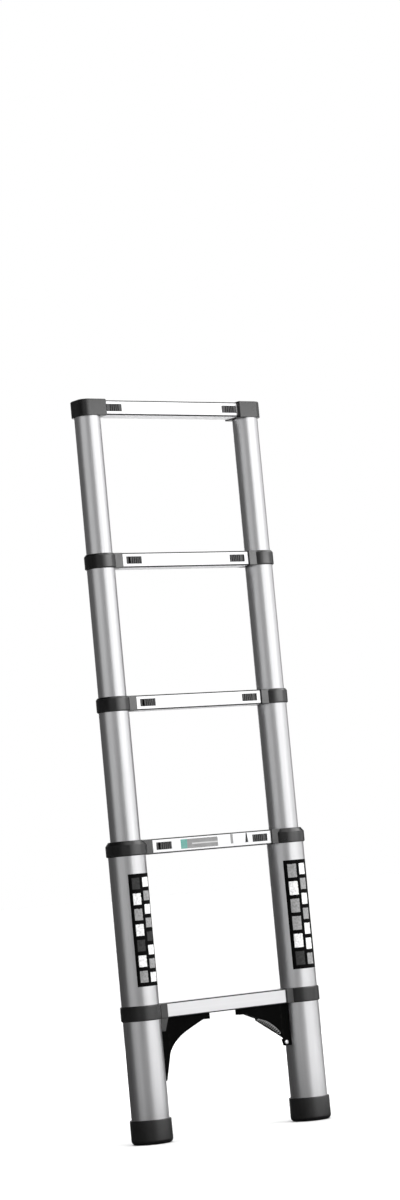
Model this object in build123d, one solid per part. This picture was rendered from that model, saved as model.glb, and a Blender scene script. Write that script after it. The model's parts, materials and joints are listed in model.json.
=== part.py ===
from build123d import *
from math import cos, hypot, pi, sin
import os

# Telescopic ladder with two round stiles of four nested tubes each, five rungs and three sliding sections.
# Millimetres, +Z up along the stiles, X along the rungs, front towards -Y, origin on the ground midway
# between the feet. The ladder stands fully extended, with every lock pin drawn back.

# Layout
stile_spacing = 392.0
rung_heights = (256.0, 581.0, 869.0, 1157.0, 1468.0)
tube_diameters = (75.5, 61.0, 57.0, 53.0)
tube_wall = 1.4
insertion = 70.0
slide_gap = 0.4
fixed_gap = 0.1
rivet_gap = 0.05

# Collars that crown each tube and carry the rung ends
collar_height = 30.0
collar_wall = 3.5
tube_seat = 8.0
block_depth = 48.0
block_overhang = 12.0
block_round = 3.0
block_chamfer = 1.2
collar_foot_chamfer = 2.0
wide_bevel = (6.0, 8.0)
slim_bevel = (3.0, 4.0)

# Top caps
cap_height = 34.0
cap_wall = 1.5
cap_end = 31.5
cap_seat = 11.0
cap_corner = 19.0
cap_top_round = 3.0

# Rungs
rung_depth = 42.0
rung_height = 30.0
rung_wall = 1.8
tread_wall = 2.8
rung_corner = 2.5
tread_grooves = 6
tread_pitch = 6.0
tread_groove_width = 2.4
tread_groove_depth = 1.2
wall_cut = 3 * rung_wall

# Latches: a window in the rung front, a ribbed slider, a pin and its spring
window_length = 37.0
window_height = 14.5
window_inset = 9.0
top_window_inset = 3.0
slider_length = 27.0
slider_proud = 1.2
slider_grips = 5
grip_pitch = 4.6
grip_width = 2.0
grip_depth = 1.0
grip_chamfer = 0.5
insert_flange = 2.0
insert_thickness = 3.2
throw = 8.5
carriage_length = 31.0
carriage_lead = 2.0
carriage_half_height = 9.0
carriage_back = 8.0
pocket_half_height = 9.6
pocket_back = 12.0
pocket_start = 6.8
housing_wall = 4.0
pin_radius = 5.0
pin_chamfer = 1.2
tail_radius = 3.0
tail_reach = 9.0
spring_length = 14.0
spring_radius = 4.5
spring_wire = 1.1
spring_turns = 4
spring_sides = 12
spring_slack = 0.2

# Plain spigots at the bottom collars and the top caps
spigot_length = 30.0
spigot_wall = 3.0
spigot_gap = 0.3

# Rivets that hold the rung ends and the brackets
rivet_radius = 2.4
rivet_head_radius = 4.8
rivet_head_height = 1.6
rivet_head_chamfer = 1.1
rivet_tail = 1.0
rung_rivet_inset = 20.0

# Sliding plugs in the lower tube ends
plug_rim = 5.0
plug_spigot = 8.0
plug_sleeve = 26.0
plug_wall = 3.0
plug_vent_radius = 6.0
plug_chamfer = 1.0

# Feet
foot_radius = 41.5
foot_height = 48.0
foot_floor = 8.0
foot_round = 5.0
foot_lip_chamfer = 1.5
sole_grooves = 4
sole_radius = 35.0
sole_groove_pitch = 14.0
sole_groove_width = 4.0
sole_groove_depth = 2.5

# Corner brackets under the bottom rung
bracket_width = 16.0
bracket_reach = 159.0
bracket_drop = 123.0
bracket_skin = 3.5
bracket_tip_length = 24.0
bracket_rib_places = (78.0, 110.0)
bracket_rib = 2.5
web_tip = (142.0, -27.0)
web_curve = ((122.0, -35.5), (101.0, -45.0), (85.0, -53.8), (70.0, -66.0), (58.5, -81.0), (54.3, -94.0))
tail_foot = 43.3
right_tail_end = -100.0
flange_start = (111.5, -43.0)
flange_slope = 0.648
flange_skin = 7.0
flange_grooves = 12
flange_groove_pitch = 4.0
flange_groove_first = 62.0
flange_groove_width = 1.6
flange_groove_depth = 0.8
pad_heights = (-100.0, -86.0)
pad_thickness = 8.0
tie_rivet_place = (49.0, -93.0)
rung_rivet_place = 128.0
lug_drop = 25.0
lug_foot = 2.0
bottom_collar_wall = 3.0

# Sizes worked out from the driving dimensions
half_spacing = stile_spacing / 2
half_collar = collar_height / 2
half_cap = cap_height / 2
half_rung = rung_height / 2
tube_radii = tuple(diameter / 2 for diameter in tube_diameters)
bores = tuple(radius - tube_wall for radius in tube_radii)
rung_front = -rung_depth / 2
inner_half_depth = rung_depth / 2 - rung_wall
inner_bottom = -half_rung + rung_wall
inner_top = half_rung - tread_wall
inner_middle = (inner_top + inner_bottom) / 2
inner_height = inner_top - inner_bottom
block_ends = (
    tube_radii[0] + block_overhang,
    tube_radii[0] + block_overhang,
    tube_radii[1] + block_overhang,
    tube_radii[2] + block_overhang,
    cap_end,
)
tube_bottoms = (foot_floor,) + tuple(
    rung_heights[level] - half_collar - insertion for level in (1, 2, 3)
)
tube_tops = tuple(rung_heights[level] + tube_seat for level in (1, 2, 3)) + (rung_heights[4] + cap_seat,)
slider_rest = window_inset + (window_length - slider_length + throw) / 2
carriage_start = slider_rest - carriage_lead
spring_start = carriage_start + carriage_length + spring_slack
housing_end = spring_start + spring_length - spring_slack
bracket_middle = bracket_skin / 2

nodes = {}


def span_box(x_span, y_span, z_span):
    """A box between two limits along each axis."""
    size = [high - low for low, high in (x_span, y_span, z_span)]
    middle = [(high + low) / 2 for low, high in (x_span, y_span, z_span)]
    return Pos(*middle) * Box(*size)


def rod_x(radius, start, end):
    """A round rod along X between two places."""
    return Pos((start + end) / 2, 0, 0) * Rot(0, 90, 0) * Cylinder(radius, end - start)


def rod_y(radius, start, end):
    """A round rod along Y between two places."""
    return Pos(0, (start + end) / 2, 0) * Rot(90, 0, 0) * Cylinder(radius, end - start)


def tube_cut(radius, low, high):
    """A round cutter about the stile axis between two heights."""
    return Pos(0, 0, (low + high) / 2) * Cylinder(radius, high - low)


def place_left(part, height=0.0):
    """Moves a part made about the stile axis to the left stile at a rung height."""
    return Pos(-half_spacing, 0, height) * part


def add_pair(name, part, height=0.0, right_part=None):
    """Adds a part made about the stile axis as a left node and a mirrored right node, which may differ."""
    if right_part is None:
        right_part = part
    nodes["left_" + name] = place_left(part, height)
    nodes["right_" + name] = mirror(place_left(right_part, height), about=Plane.YZ)


def stile_tube(index):
    """One drawn tube, with a pin hole at its own collar and a lock hole where it leaves the one below."""
    radius = tube_radii[index]
    bottom = tube_bottoms[index]
    length = tube_tops[index] - bottom
    tube = Pos(0, 0, bottom) * extrude(Circle(radius) - Circle(bores[index]), length)
    hole_heights = [rung_heights[level] for level in (index, index + 1) if 1 <= level <= 3]
    for height in hole_heights:
        hole = rod_x(pin_radius + slide_gap, bores[index] - tube_wall, radius + tube_wall)
        tube -= Pos(0, 0, height) * hole
    return tube


def plug(index):
    """A sliding plug in a tube's lower end: a vented rim with a spigot, or a cup where the gap is wide."""
    guide = bores[index - 1] - slide_gap
    tube = tube_radii[index] + fixed_gap
    spigot = bores[index] - fixed_gap
    body = tube_cut(guide, -plug_rim, 0)
    body = chamfer(body.edges().group_by(Axis.Z)[0], plug_chamfer)
    if guide - tube > plug_wall:
        body += tube_cut(guide, 0, plug_sleeve) - tube_cut(tube, 0, plug_sleeve)
    else:
        body += tube_cut(spigot, 0, plug_spigot) - tube_cut(spigot - plug_wall, 0, plug_spigot)
    body -= tube_cut(plug_vent_radius, -plug_rim, 0)
    return Pos(0, 0, tube_bottoms[index]) * body


def rung_block(end):
    """The flat-faced block that joins a collar ring to its rung, with rounded corners at the rung."""
    plan = Pos(end / 2, 0) * Rectangle(end, block_depth)
    plan = fillet(plan.vertices().group_by(Axis.X)[-1], block_round)
    block = Pos(0, 0, -half_collar) * extrude(plan, collar_height)
    rims = block.edges().group_by(Axis.Z)
    return chamfer(rims[0] + rims[-1], block_chamfer)


def spigot_bar(start, length, inset):
    """A bar that fills the rung's bore from a place onwards, less an inset all round."""
    gap = spigot_gap + inset
    profile = RectangleRounded(2 * (inner_half_depth - gap), inner_height - 2 * gap, rung_corner / 2)
    return Pos(start, 0, inner_middle) * extrude(Plane.YZ * profile, length)


def plain_spigot(end):
    """A hollow spigot that fills the rung's end."""
    body = spigot_bar(end, spigot_length, 0)
    return body - spigot_bar(end + spigot_wall, spigot_length, spigot_wall)


def rivet_hole(end):
    """The hole for the rivet at the back of a rung end."""
    return Pos(end + rung_rivet_inset, 0, 0) * rod_y(rivet_radius + rivet_gap, 0, rung_depth)


def latch_housing(end):
    """A spigot with an open-fronted pocket for the slider, its pin and its spring."""
    body = spigot_bar(end, housing_end + housing_wall, 0)
    pocket = span_box(
        (end + pocket_start, end + housing_end),
        (-rung_depth / 2, pocket_back),
        (-pocket_half_height, pocket_half_height),
    )
    return body - pocket


def collar(level):
    """A moulded collar: ring, lip about the sliding tube, rung block and latch housing in one piece."""
    outer = tube_radii[level - 1]
    lip = tube_radii[level] + slide_gap
    ring = outer + collar_wall
    bevel_in, bevel_down = wide_bevel if level == 1 else slim_bevel
    section = Polyline(
        (0, -half_collar),
        (ring - collar_foot_chamfer, -half_collar),
        (ring, -half_collar + collar_foot_chamfer),
        (ring, half_collar - bevel_down),
        (ring - bevel_in, half_collar),
        (0, half_collar),
        close=True,
    )
    body = revolve(Plane.XZ * make_face(section), Axis.Z)
    end = block_ends[level]
    body += rung_block(end)
    body += latch_housing(end)
    body -= tube_cut(outer + fixed_gap, -half_collar, tube_seat)
    body -= tube_cut(lip, tube_seat, half_collar)
    body -= rod_x(pin_radius + slide_gap, lip, end + pocket_start)
    body -= rivet_hole(end)
    return body


def bottom_collar(lug_place):
    """The collar of the fixed bottom rung, with a lug beside the bracket: in front at -1, behind at 1."""
    tube = tube_radii[0] + fixed_gap
    end = block_ends[0]
    ring = tube_radii[0] + bottom_collar_wall
    body = tube_cut(ring, -half_collar, half_collar)
    rims = body.edges().group_by(Axis.Z)
    body = chamfer(rims[0] + rims[-1], collar_foot_chamfer)
    body += rung_block(end)
    body += plain_spigot(end)
    lug_inner = bracket_width / 2 + slide_gap
    lug_side = make_face(
        Polyline(
            (0, -half_collar + block_chamfer),
            (end, -half_collar + block_chamfer),
            (end, -half_collar),
            (tube + lug_foot, -half_collar - lug_drop),
            (0, -half_collar - lug_drop),
            close=True,
        )
    )
    thickness = block_depth / 2 - block_chamfer - lug_inner
    lug_middle = lug_place * (lug_inner + thickness / 2)
    body += extrude(Plane.XZ.offset(-lug_middle - thickness / 2) * lug_side, thickness)
    body -= tube_cut(tube, -half_collar - lug_drop, half_collar)
    body -= rivet_hole(end)
    return body


def cap():
    """A closed top cap: a rounded box over the tube's end with a spigot in the top rung."""
    half_width = tube_radii[3] + cap_wall
    plan = Pos((cap_end - half_width) / 2, 0) * Rectangle(cap_end + half_width, 2 * half_width)
    sides = plan.vertices().group_by(Axis.X)
    plan = fillet(sides[0], cap_corner)
    plan = fillet(plan.vertices().group_by(Axis.X)[-1], block_round)
    body = Pos(0, 0, -half_cap) * extrude(plan, cap_height)
    body = fillet(body.edges().group_by(Axis.Z)[-1], cap_top_round)
    body = chamfer(body.edges().group_by(Axis.Z)[0], block_chamfer)
    body += plain_spigot(cap_end)
    body -= span_box(
        (cap_end + top_window_inset - insert_flange - slide_gap, cap_end + spigot_length),
        (-inner_half_depth, -inner_half_depth + insert_thickness + slide_gap),
        (-pocket_half_height, pocket_half_height),
    )
    body -= tube_cut(tube_radii[3] + fixed_gap, -half_cap, cap_seat)
    body -= rivet_hole(cap_end)
    return body


def rung(level):
    """A hollow extruded rung with a grooved tread, and windows for the latches above the bottom one."""
    half_length = half_spacing - block_ends[level]
    profile = RectangleRounded(rung_depth, rung_height, rung_corner)
    groove = Rectangle(tread_groove_width, 2 * tread_groove_depth)
    for index in range(tread_grooves):
        across = (index - (tread_grooves - 1) / 2) * tread_pitch
        profile -= Pos(across, half_rung) * groove
    profile -= Pos(0, inner_middle) * RectangleRounded(2 * inner_half_depth, inner_height, rung_corner / 2)
    bar = Pos(-half_length, 0, 0) * extrude(Plane.YZ * profile, 2 * half_length)
    for side in (-1, 1):
        rivet_x = side * (half_length - rung_rivet_inset)
        bar -= Pos(rivet_x, 0, 0) * rod_y(rivet_radius + rivet_gap, 0, rung_depth)
        if level > 0:
            inset = top_window_inset if level == 4 else window_inset
            middle = side * (half_length - inset - window_length / 2)
            bar -= Pos(middle, rung_front, 0) * Box(window_length, wall_cut, window_height)
        if level == 0:
            place = side * (half_spacing - rung_rivet_place)
            bar -= Pos(place, bracket_middle, -half_rung) * Cylinder(rivet_radius + rivet_gap, wall_cut)
    return Pos(0, 0, rung_heights[level]) * bar


def grip_plate(start, length, front, back):
    """A plate that fills a window's height, with upright finger grooves across its front."""
    half_height = window_height / 2 - slide_gap
    plate = span_box((start, start + length), (front, back), (-half_height, half_height))
    plate = chamfer(plate.faces().sort_by(Axis.Y)[0].edges(), grip_chamfer)
    for index in range(slider_grips):
        place = start + length / 2 + (index - (slider_grips - 1) / 2) * grip_pitch
        groove_span = (place - grip_width / 2, place + grip_width / 2)
        plate -= span_box(groove_span, (front, front + grip_depth), (-half_height, half_height))
    return plate


def slider(level):
    """The thumb slider: a grip in the window and a carriage behind it that holds the pin's tail."""
    start = block_ends[level] + carriage_start
    inner_face = -inner_half_depth + 2 * slide_gap
    body = span_box(
        (start, start + carriage_length),
        (inner_face, carriage_back),
        (-carriage_half_height, carriage_half_height),
    )
    body += grip_plate(start + carriage_lead, slider_length, rung_front - slider_proud, inner_face)
    body -= rod_x(tail_radius + rivet_gap, start, start + carriage_length)
    return body


def pin(level):
    """The steel lock pin, drawn back clear of the sliding tube, with a thin tail through the carriage."""
    tip = tube_radii[level] + slide_gap + fixed_gap
    shoulder = block_ends[level] + carriage_start
    shank = rod_x(pin_radius, tip, shoulder)
    shank = chamfer(shank.edges().group_by(Axis.X)[0], pin_chamfer)
    return shank + rod_x(tail_radius, shoulder, shoulder + carriage_length + tail_reach)


def latch_spring(level):
    """The coil spring about the pin's tail, squeezed between the carriage and the housing's end."""
    coil_length = spring_length - 2 * spring_slack - 2 * spring_wire
    steps = spring_turns * spring_sides
    corners = []
    for step in range(steps + 1):
        turn = 2 * pi * step / spring_sides
        corners.append((coil_length * step / steps, spring_radius * cos(turn), spring_radius * sin(turn)))
    path = Polyline(*corners)
    wire = Plane(path @ 0, z_dir=path % 0) * Rectangle(spring_wire, spring_wire)
    coil = sweep(wire, path=path, transition=Transition.RIGHT)
    return Pos(block_ends[level] + spring_start + spring_wire, 0, 0) * coil


def window_insert():
    """The fixed ribbed plate in the top rung's window, which has no section above it to lock."""
    start = cap_end + top_window_inset
    body = span_box(
        (start - insert_flange, start + window_length + insert_flange),
        (-inner_half_depth, -inner_half_depth + insert_thickness),
        (-carriage_half_height, carriage_half_height),
    )
    plate_length = window_length - 2 * slide_gap
    front = rung_front - slider_proud / 2
    return body + grip_plate(start + slide_gap, plate_length, front, -inner_half_depth)


def rivet(length):
    """A rivet along +Y: low crowned head on the outside from y = 0, shank towards -Y."""
    head = extrude(Plane.XZ * Circle(rivet_head_radius), -rivet_head_height)
    head = chamfer(head.edges().group_by(Axis.Y)[-1], rivet_head_chamfer)
    return head + rod_y(rivet_radius, -length, 0)


def rung_rivets(level):
    """The two rivets at the back of one rung."""
    place = half_spacing - block_ends[level] - rung_rivet_inset
    length = rung_depth / 2 - pocket_back - rivet_tail
    one = Pos(0, rung_depth / 2, rung_heights[level]) * rivet(length)
    return Compound(children=[Pos(side * place, 0, 0) * one for side in (-1, 1)])


def bracket_web(tail_end):
    """The side view of the bracket's front web: a curve from the tip down to a tail along the tube."""
    top = -half_rung
    low = top - bracket_drop
    tail = (web_curve[-1], (tail_foot, low), (0, low))
    head = ((0, top), (bracket_reach, top), (bracket_reach, web_tip[1]), web_tip)
    web = make_face([Polyline(*tail, *head), Spline(web_tip, *web_curve)])
    return web - Pos(0, tail_end - bracket_drop) * Rectangle(2 * bracket_reach, 2 * bracket_drop)


def bracket_flange(web):
    """The side view of the bracket behind its web: the web's own tip, then straight down to the tube."""
    top = -half_rung
    start_x, start_z = flange_start
    foot = start_z - flange_slope * start_x
    straight = make_face(Polyline((0, top), (start_x, top), flange_start, (0, foot), close=True))
    tip_length = bracket_reach - start_x
    tip = web & Pos(start_x + tip_length / 2, top) * Rectangle(tip_length, 2 * bracket_drop)
    return straight + tip


def across_bracket(side_view, front, back):
    """A side view drawn out between two depths along Y."""
    return extrude(Plane.XZ.offset(-back) * side_view, back - front)


def bracket(tail_end):
    """A corner bracket: front web with a pad and a tail, ribbed flange behind, saddle on the tube."""
    top = -half_rung
    front = -bracket_width / 2
    back = bracket_width / 2
    web_back = front + bracket_skin
    web = bracket_web(tail_end)
    flange = bracket_flange(web)
    body = across_bracket(web, front, web_back)
    body += across_bracket(flange, web_back, back)
    pad_low, pad_high = pad_heights
    pad = Pos(bracket_reach / 2, (pad_low + pad_high) / 2) * Rectangle(bracket_reach, pad_high - pad_low)
    body += across_bracket(pad & web, front, front + pad_thickness)
    lift = flange_skin * hypot(1, flange_slope)
    hollow_end = bracket_reach - bracket_tip_length
    hollow = Pos(0, lift) * flange & Pos(hollow_end / 2, top) * Rectangle(hollow_end, 2 * bracket_drop)
    hollow &= Pos(0, top - bracket_skin - bracket_drop) * Rectangle(2 * bracket_reach, 2 * bracket_drop)
    for place in bracket_rib_places:
        hollow -= Pos(place, top) * Rectangle(bracket_rib, 2 * bracket_drop)
    pocket = across_bracket(hollow, web_back, back)
    pocket -= tube_cut(tube_radii[0] + bracket_skin, -2 * bracket_drop, 0)
    body -= pocket
    body -= flange_grooving(flange)
    body -= tube_cut(tube_radii[0] + fixed_gap, -2 * bracket_drop, 0)
    tie_x, tie_z = tie_rivet_place
    body -= Pos(tie_x, 0, tie_z) * rod_y(rivet_radius + rivet_gap, -bracket_width, bracket_width)
    body -= Pos(rung_rivet_place, bracket_middle, top) * Cylinder(rivet_radius + rivet_gap, 4 * bracket_skin)
    return body


def flange_grooving(flange):
    """Fine grooves across the underside of the flange, for a firm grip."""
    strip = flange - Pos(0, flange_groove_depth) * flange
    cuts = []
    for index in range(flange_grooves):
        place = flange_groove_first + index * flange_groove_pitch
        bar = Pos(place, -half_rung - bracket_drop / 2) * Rectangle(flange_groove_width, bracket_drop)
        cuts.append(across_bracket(strip & bar, bracket_skin - bracket_width / 2, bracket_width / 2))
    return Compound(children=cuts)


def bracket_rivets():
    """For each bracket, a tie rivet through its pad and a rivet up into the bottom rung."""
    tie_x, tie_z = tie_rivet_place
    pad_back = pad_thickness - bracket_width / 2
    tie = rivet(pad_thickness)
    upward = Rot(-90, 0, 0) * rivet(bracket_skin + rung_wall + rivet_tail)
    seat = (rung_rivet_place, bracket_middle, -half_rung - bracket_skin)
    under = place_left(Pos(*seat) * upward, rung_heights[0])
    left_tie = place_left(Pos(tie_x, pad_back, tie_z) * tie, rung_heights[0])
    front_tie = Pos(0, -bracket_width / 2, 0) * mirror(tie, about=Plane.XZ)
    right_tie = Pos(half_spacing - tie_x, 0, rung_heights[0] + tie_z) * front_tie
    return Compound(children=[under, mirror(under, about=Plane.YZ), left_tie, right_tie])


def foot():
    """A rubber boot on the tube's lower end, with a rounded edge and a grooved sole."""
    body = tube_cut(foot_radius, 0, foot_height)
    body = fillet(body.edges().group_by(Axis.Z)[0], foot_round)
    body = chamfer(body.edges().group_by(Axis.Z)[-1], foot_lip_chamfer)
    body -= tube_cut(tube_radii[0] + fixed_gap, foot_floor, foot_height)
    for index in range(sole_grooves):
        across = (index - (sole_grooves - 1) / 2) * sole_groove_pitch
        groove = Pos(0, across, 0) * Box(2 * sole_radius, sole_groove_width, 2 * sole_groove_depth)
        body -= groove & tube_cut(sole_radius, -sole_groove_depth, sole_groove_depth)
    return body


for tube_index in range(4):
    add_pair(f"tube_{tube_index + 1}", stile_tube(tube_index))
for tube_index in (1, 2, 3):
    add_pair(f"plug_{tube_index + 1}", plug(tube_index))
for rung_level in range(5):
    nodes[f"rung_{rung_level + 1}"] = rung(rung_level)
    nodes[f"rung_rivets_{rung_level + 1}"] = rung_rivets(rung_level)
for latch_level in (1, 2, 3):
    number = latch_level + 1
    latch_height = rung_heights[latch_level]
    add_pair(f"collar_{number}", collar(latch_level), latch_height)
    add_pair(f"slider_{number}", slider(latch_level), latch_height)
    add_pair(f"pin_{number}", pin(latch_level), latch_height)
    add_pair(f"spring_{number}", latch_spring(latch_level), latch_height)
add_pair("collar_1", bottom_collar(-1), rung_heights[0], bottom_collar(1))
add_pair("cap", cap(), rung_heights[4])
add_pair("insert", window_insert(), rung_heights[4])
left_tail_end = -half_rung - bracket_drop
add_pair("bracket", bracket(left_tail_end), rung_heights[0], bracket(right_tail_end))
add_pair("foot", foot())
nodes["bracket_rivets"] = bracket_rivets()

os.makedirs("parts", exist_ok=True)
for node_name, node_part in nodes.items():
    export_step(node_part, f"parts/{node_name}.step")
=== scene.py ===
"""Looks of a telescopic ladder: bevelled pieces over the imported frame, their finishes and a small studio."""

import json
import logging
import math
from collections.abc import Callable, Iterable, Iterator
from contextlib import contextmanager
from dataclasses import dataclass, replace
from enum import Enum
from itertools import pairwise
from typing import ClassVar

import bmesh
import bpy
from mathutils import Matrix, Vector

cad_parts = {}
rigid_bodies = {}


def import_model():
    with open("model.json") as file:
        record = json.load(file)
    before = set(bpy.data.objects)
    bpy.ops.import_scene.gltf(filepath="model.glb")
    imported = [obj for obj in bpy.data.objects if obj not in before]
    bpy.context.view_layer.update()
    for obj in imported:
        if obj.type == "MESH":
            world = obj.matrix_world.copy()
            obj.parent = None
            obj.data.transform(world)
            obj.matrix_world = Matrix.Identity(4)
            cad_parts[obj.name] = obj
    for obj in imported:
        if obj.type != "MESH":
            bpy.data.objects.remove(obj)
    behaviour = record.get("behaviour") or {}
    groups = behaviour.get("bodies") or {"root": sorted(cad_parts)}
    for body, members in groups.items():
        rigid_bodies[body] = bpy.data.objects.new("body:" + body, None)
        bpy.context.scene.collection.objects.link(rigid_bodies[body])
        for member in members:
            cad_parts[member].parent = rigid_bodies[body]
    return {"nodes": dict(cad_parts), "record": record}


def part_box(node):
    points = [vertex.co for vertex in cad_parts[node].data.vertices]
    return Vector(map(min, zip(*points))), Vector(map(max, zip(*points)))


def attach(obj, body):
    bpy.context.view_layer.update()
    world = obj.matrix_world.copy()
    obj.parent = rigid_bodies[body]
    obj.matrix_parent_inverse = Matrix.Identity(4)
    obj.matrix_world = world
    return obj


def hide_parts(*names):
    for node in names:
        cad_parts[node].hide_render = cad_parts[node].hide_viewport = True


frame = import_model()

LOG = logging.getLogger("ladder")
MM = 0.001

# The directions of the shared frame.
ALONG_X = Vector((1.0, 0.0, 0.0)).freeze()
ALONG_Y = Vector((0.0, 1.0, 0.0)).freeze()
UP = Vector((0.0, 0.0, 1.0)).freeze()

# The rungs from the ground up, and those that have latches.
LEVELS = (1, 2, 3, 4, 5)
BOTTOM, TOP = LEVELS[0], LEVELS[-1]
LATCHED = LEVELS[1:-1]

# How places, directions and edges are told apart.
SAME_PLACE = 0.01 * MM
ALIGNED = 0.99
SLIGHT_ANGLE = math.radians(20)
SHARP_ANGLE = math.radians(38)
ROUND_SIDES = 128
EDGE_ATTRIBUTE = "edge"

# The range of a mask, and the middle of a noise, where most of its values lie.
WHOLE = (0.0, 1.0)
MIDDLE = (0.3, 0.7)

Pair = tuple[float, float]
Colour = tuple[float, float, float, float]
Socket = bpy.types.NodeSocket
EdgeTest = Callable[[bmesh.types.BMEdge], bool]


def in_mm(*points: Pair) -> tuple[Pair, ...]:
    """Points in metres that are given in millimetres."""
    return tuple((across * MM, height * MM) for across, height in points)


def spread_evenly(count: int, pitch: float) -> list[float]:
    """A number of places at an even pitch about zero, in order."""
    return [(index - (count - 1) / 2) * pitch for index in range(count)]


def grey(tone: float, cool: float = 0.0) -> Colour:
    """A grey that is bluer by its cool part."""
    return tone, tone, tone + cool, 1.0


class Side(Enum):
    """The two stiles, by the prefix of their nodes."""

    LEFT = "left"
    RIGHT = "right"

    def node(self, name: str) -> str:
        """The full name of this side's node."""
        return f"{self.value}_{name}"

    def span(self, name: str) -> "Span":
        """The box of this side's node."""
        return Span.of(self.node(name))


class Place(Enum):
    """Which side of the brackets a lug hangs on, as its direction along Y."""

    FRONT = -1
    BACK = 1


class Join(Enum):
    """What a tool piece does to the piece that it is combined with."""

    ADD = "UNION"
    REMOVE = "DIFFERENCE"


class Direction(Enum):
    """The way that a rod runs, as the turn of a rod that starts upright."""

    X = (0.0, math.pi / 2, 0.0)
    Y = (-math.pi / 2, 0.0, 0.0)
    Z = (0.0, 0.0, 0.0)
    FRONT = (math.pi / 2, 0.0, 0.0)
    DOWN = (math.pi, 0.0, 0.0)


class Round(Enum):
    """How many faces go across a rounded edge."""

    FINE = 2
    SMALL = 3
    MEDIUM = 4
    BROAD = 5
    SOLE = 7
    CORNER = 14


@dataclass(frozen=True)
class Span:
    """The box that a node or a piece takes up."""

    low: Vector
    high: Vector

    @classmethod
    def of(cls, node: str) -> "Span":
        """The box of a CAD node at rest."""
        return cls(*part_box(node))

    @classmethod
    def rung(cls, level: int) -> "Span":
        """The box of a rung."""
        return cls.of(f"rung_{level}")

    @property
    def middle(self) -> Vector:
        """The middle of the box."""
        return (self.low + self.high) / 2

    @property
    def size(self) -> Vector:
        """The box's length along each axis."""
        return self.high - self.low


class Frame:
    """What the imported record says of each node."""

    bodies: dict[str, str] = {
        node: body for body, nodes in frame["record"]["behaviour"]["bodies"].items() for node in nodes
    }
    slots: dict[str, str] = {part["node"]: part["material_slot"] for part in frame["record"]["subparts"]}


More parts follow.
